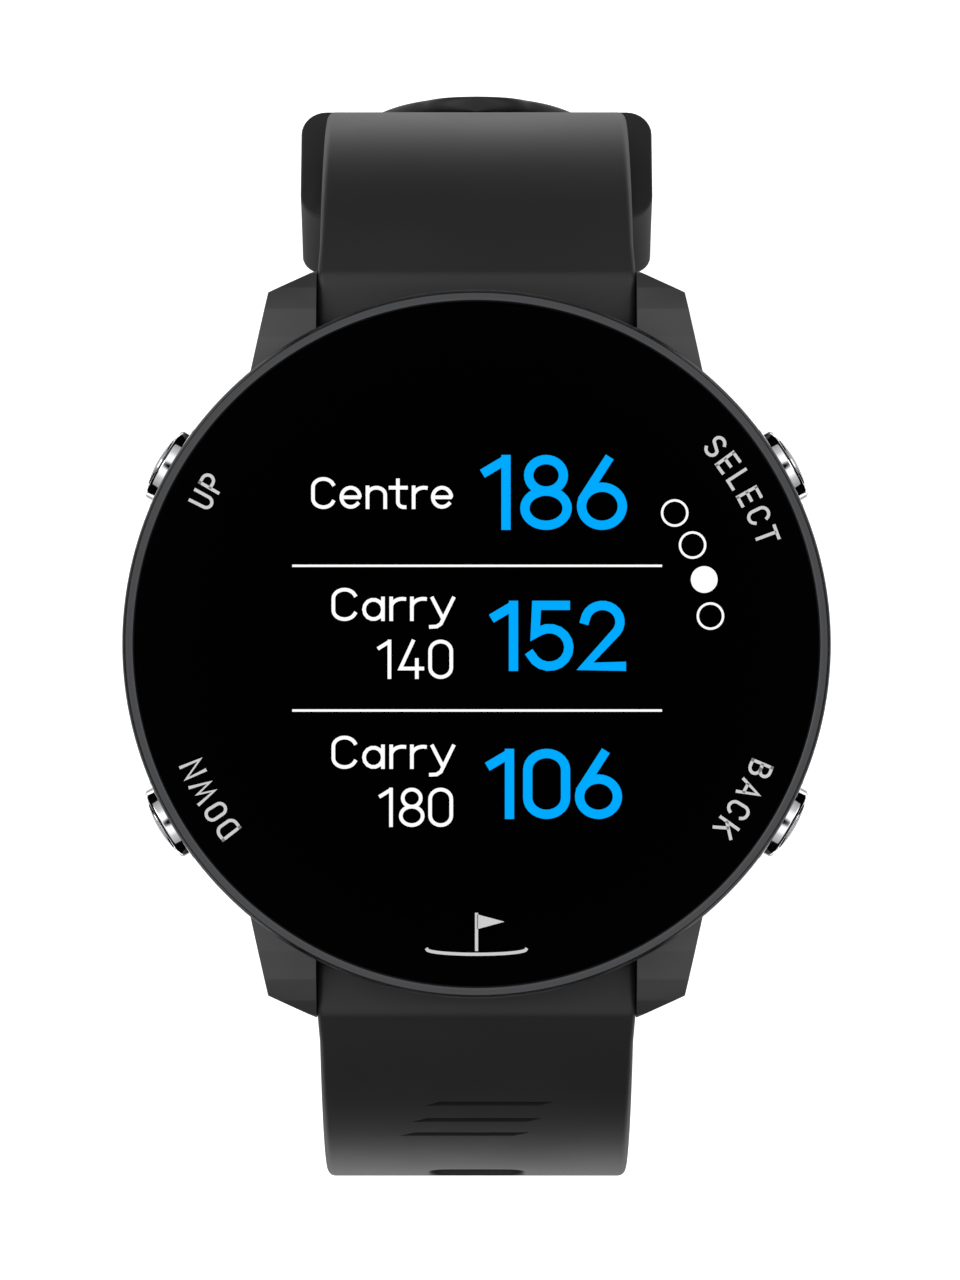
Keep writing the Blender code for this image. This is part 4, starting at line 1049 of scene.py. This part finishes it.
def screen():
    """Three distances on the display, page dots, and the names of the buttons."""
    rows = (("186", 9.43, 7.15, 4.7), ("152", 9.37, -1.69, 4.4), ("106", 9.12, -10.97, 4.4))
    strips = []
    for text, right, base, height in rows:
        strips += word(text, right, base, height, 0.29, 1.15)
    solid_strips("screen_numbers", strips, "blue")
    labels = (
        ("Centre", -1.47, 8.46, 2.0, 1.36), ("Carry", -1.4, 1.44, 2.08, 1.4),
        ("140", -1.47, -2.19, 2.46, 1.1), ("Carry", -1.4, -7.83, 2.08, 1.4),
        ("180", -1.47, -11.47, 2.46, 1.1),
    )
    strips = []
    for text, right, base, height, widen in labels:
        strips += word(text, right, base, height, 0.115, widen)
    for y in (4.9, -4.17):
        strips.append(([(-11.48, y), (11.55, y)], 0.075))
    dots = ((12.42, 8.21, False), (13.54, 6.2, False), (14.27, 4.04, True), (14.66, 1.75, False))
    for x, y, is_lit in dots:
        radius, half = (0.42, 0.42) if is_lit else (0.79, 0.075)
        strips.append(([(x + radius * cos(a), y + radius * sin(a)) for a in circle_turns()], half))
    solid_strips("screen_labels", strips, "white")
    names = (("UP", 152.3, 148.7), ("SELECT", 39.6, 20.5), ("DOWN", 216.6, 203.8), ("BACK", -23.9, -36.5))
    strips = flag_strips()
    for text, start, end in names:
        strips += legend(text, start, end)
    solid_strips("glass_print", strips, "print", 0.008)


def circle_turns(count=48):
    return [2 * pi * i / count for i in range(count + 1)]


def flag_strips():
    """A flag on its pole over a putting green, as a plain mark."""
    foot, top = -19.15, -16.95
    green = [(3.1 * cos(a), foot - 0.3 * sin(a)) for a in [pi * i / 24 for i in range(25)]]
    pennant = [(0.02 + 1.7 * i / 6, top - 0.46) for i in range(7)]
    tapered = [0.46 * (1 - i / 6) + 0.01 for i in range(7)]
    return [([(0.0, foot), (0.0, top)], 0.1), (green, 0.1), (pennant, tapered)]


# ---------------- what stays from the frame
CARRIED_LOOKS = {
    "gasket": ("lens_gasket", "back_gasket", "button_seal_"),
    "glass": ("display_panel",),
    "case": ("display_bracket",),
    "board": ("main_board",),
    "ceramic": ("gps_antenna",),
    "steel": ("battery", "shield_can", "vibration_motor", "button_spring_", "button_clip_")
    + ("tact_switch_", "spring_bar_", "bar_tip_"),
}


def carried_over():
    """Materials for the frame's own pieces that stay shown, inside the case."""
    for name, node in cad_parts.items():
        for look, starts in CARRIED_LOOKS.items():
            if name.startswith(starts):
                node.data.materials.clear()
                node.data.materials.append(LOOKS[look])


# ---------------- studio
FLOOR_REACH, FLOOR_DROP = 3.0, 0.0002  # metres, and how far the floor lies under the watch
CARD_REACH, CARD_LIFT, CARD_OVER = 0.06, 0.015, 0.012  # the black cards, over the floor and the watch
UNDER_REACH, UNDER_DROP, UNDER_GLOW = 0.05, 0.0001, 0.5  # the grey card under the watch
SKY_STRENGTH = 1.5
SKY = ((0.0, 0.42), (0.3, 0.3), (0.7, 0.5), (0.88, 1.0), (0.97, 0.9), (0.995, 0.0))  # (height, grey)
SOFTBOX_SIZE, LIGHT_TARGET = (0.5, 0.9), (0, 0, 0.04)


def area_light(name, power, position):
    light = bpy.data.lights.new(name, "AREA")
    light.shape = "RECTANGLE"
    light.size, light.size_y = SOFTBOX_SIZE
    light.energy = power
    obj = linked(name, light)
    obj.location = position
    obj.rotation_euler = (Vector(LIGHT_TARGET) - Vector(position)).to_track_quat("-Z", "Y").to_euler()


def sheet(name, corners, material):
    mesh = bpy.data.meshes.new(name)
    mesh.from_pydata([tuple(c) for c in corners], [], [(0, 1, 2, 3)])
    mesh.materials.append(material)
    obj = linked(name, mesh)
    return obj


def level_square(reach, z):
    return [(x * reach, y * reach, z) for x, y in ((-1, -1), (1, -1), (1, 1), (-1, 1))]


def card(name, corners, glow):
    """A matt sheet that only reflections see."""
    look = Nodes(name, (0.0, 0.0, 0.0), 1.0)
    look.set("Specular IOR Level", 0.0)
    look.set("Emission Color", (1, 1, 1, 1))
    look.set("Emission Strength", glow)
    obj = sheet(name, corners, look.material)
    obj.visible_camera = obj.visible_diffuse = obj.visible_shadow = False


def cards():
    """Black cards round the watch, beyond the picture, that darken reflections, and a grey one under it:
    painted shade that dims the floor's reflection close to the watch.
    """
    low, high, reach = FLOOR_Z + CARD_LIFT, TOP + CARD_OVER, CARD_REACH
    for i in range(4):
        turn = Matrix.Rotation(pi / 2 * i, 4, "Z")
        corners = [(-reach, reach, low), (reach, reach, low), (reach, reach, high), (-reach, reach, high)]
        card(f"card_{i + 1}", [turn @ Vector(c) for c in corners], 0.0)
    # Painted shade: a dim grey sheet under the watch that only reflections see, darker than the floor,
    # standing in for the shade near the watch.
    card("painted_shade_card", level_square(UNDER_REACH, FLOOR_Z - UNDER_DROP), UNDER_GLOW)


def sky():
    """A soft sky that is darker overhead."""
    world = bpy.data.worlds.new("studio")
    bpy.context.scene.world = world
    world.use_nodes = True
    tree = world.node_tree
    background = tree.nodes["Background"]
    background.inputs["Strength"].default_value = SKY_STRENGTH
    coordinates = tree.nodes.new("ShaderNodeTexCoord")
    split = tree.nodes.new("ShaderNodeSeparateXYZ")
    ramp = tree.nodes.new("ShaderNodeValToRGB")
    tree.links.new(coordinates.outputs["Generated"], split.inputs["Vector"])
    tree.links.new(split.outputs["Z"], ramp.inputs["Fac"])
    tree.links.new(ramp.outputs["Color"], background.inputs["Color"])
    stops = ramp.color_ramp.elements
    for stop, (height, grey) in zip(stops, (SKY[0], SKY[-1])):
        stop.position, stop.color = height, (grey, grey, grey, 1)
    for height, grey in SKY[1:-1]:
        stops.new(height).color = (grey, grey, grey, 1)


def studio():
    """A pale floor, the sky, two softboxes and the cards."""
    pale = Nodes("pale_floor", (0.8, 0.8, 0.8), 0.8)
    pale.set("Emission Color", (1, 1, 1, 1))
    pale.set("Emission Strength", 0.6)
    sheet("floor", level_square(FLOOR_REACH, FLOOR_Z - FLOOR_DROP), pale.material)
    sky()
    area_light("softbox_left", 4.0, (-0.75, 0.3, 0.6))
    area_light("softbox_right", 2.5, (0.8, 0.35, 0.55))
    cards()
    bpy.context.scene.view_settings.view_transform = "Standard"


CAMERA_HEIGHT = 400.0  # over the bezel
FOCAL_LENGTH, SENSOR_HEIGHT = 179.5, 36.0
SHIFT = (0.0027, 0.0031)


def camera():
    data = bpy.data.cameras.new("camera")
    data.sensor_fit = "VERTICAL"
    data.sensor_height = SENSOR_HEIGHT
    data.lens = FOCAL_LENGTH
    data.shift_x, data.shift_y = SHIFT
    data.clip_start = 0.01
    obj = linked("camera", data)
    obj.location = place(0, 0, -CAMERA_HEIGHT)
    bpy.context.scene.camera = obj


def main():
    camera()
    studio()
    case_shell()
    front()
    case_back()
    buttons()
    band_upper()
    band_lower()
    keeper_free()
    keeper_fixed()
    buckle()
    screen()
    carried_over()


main()
bpy.context.view_layer.update()
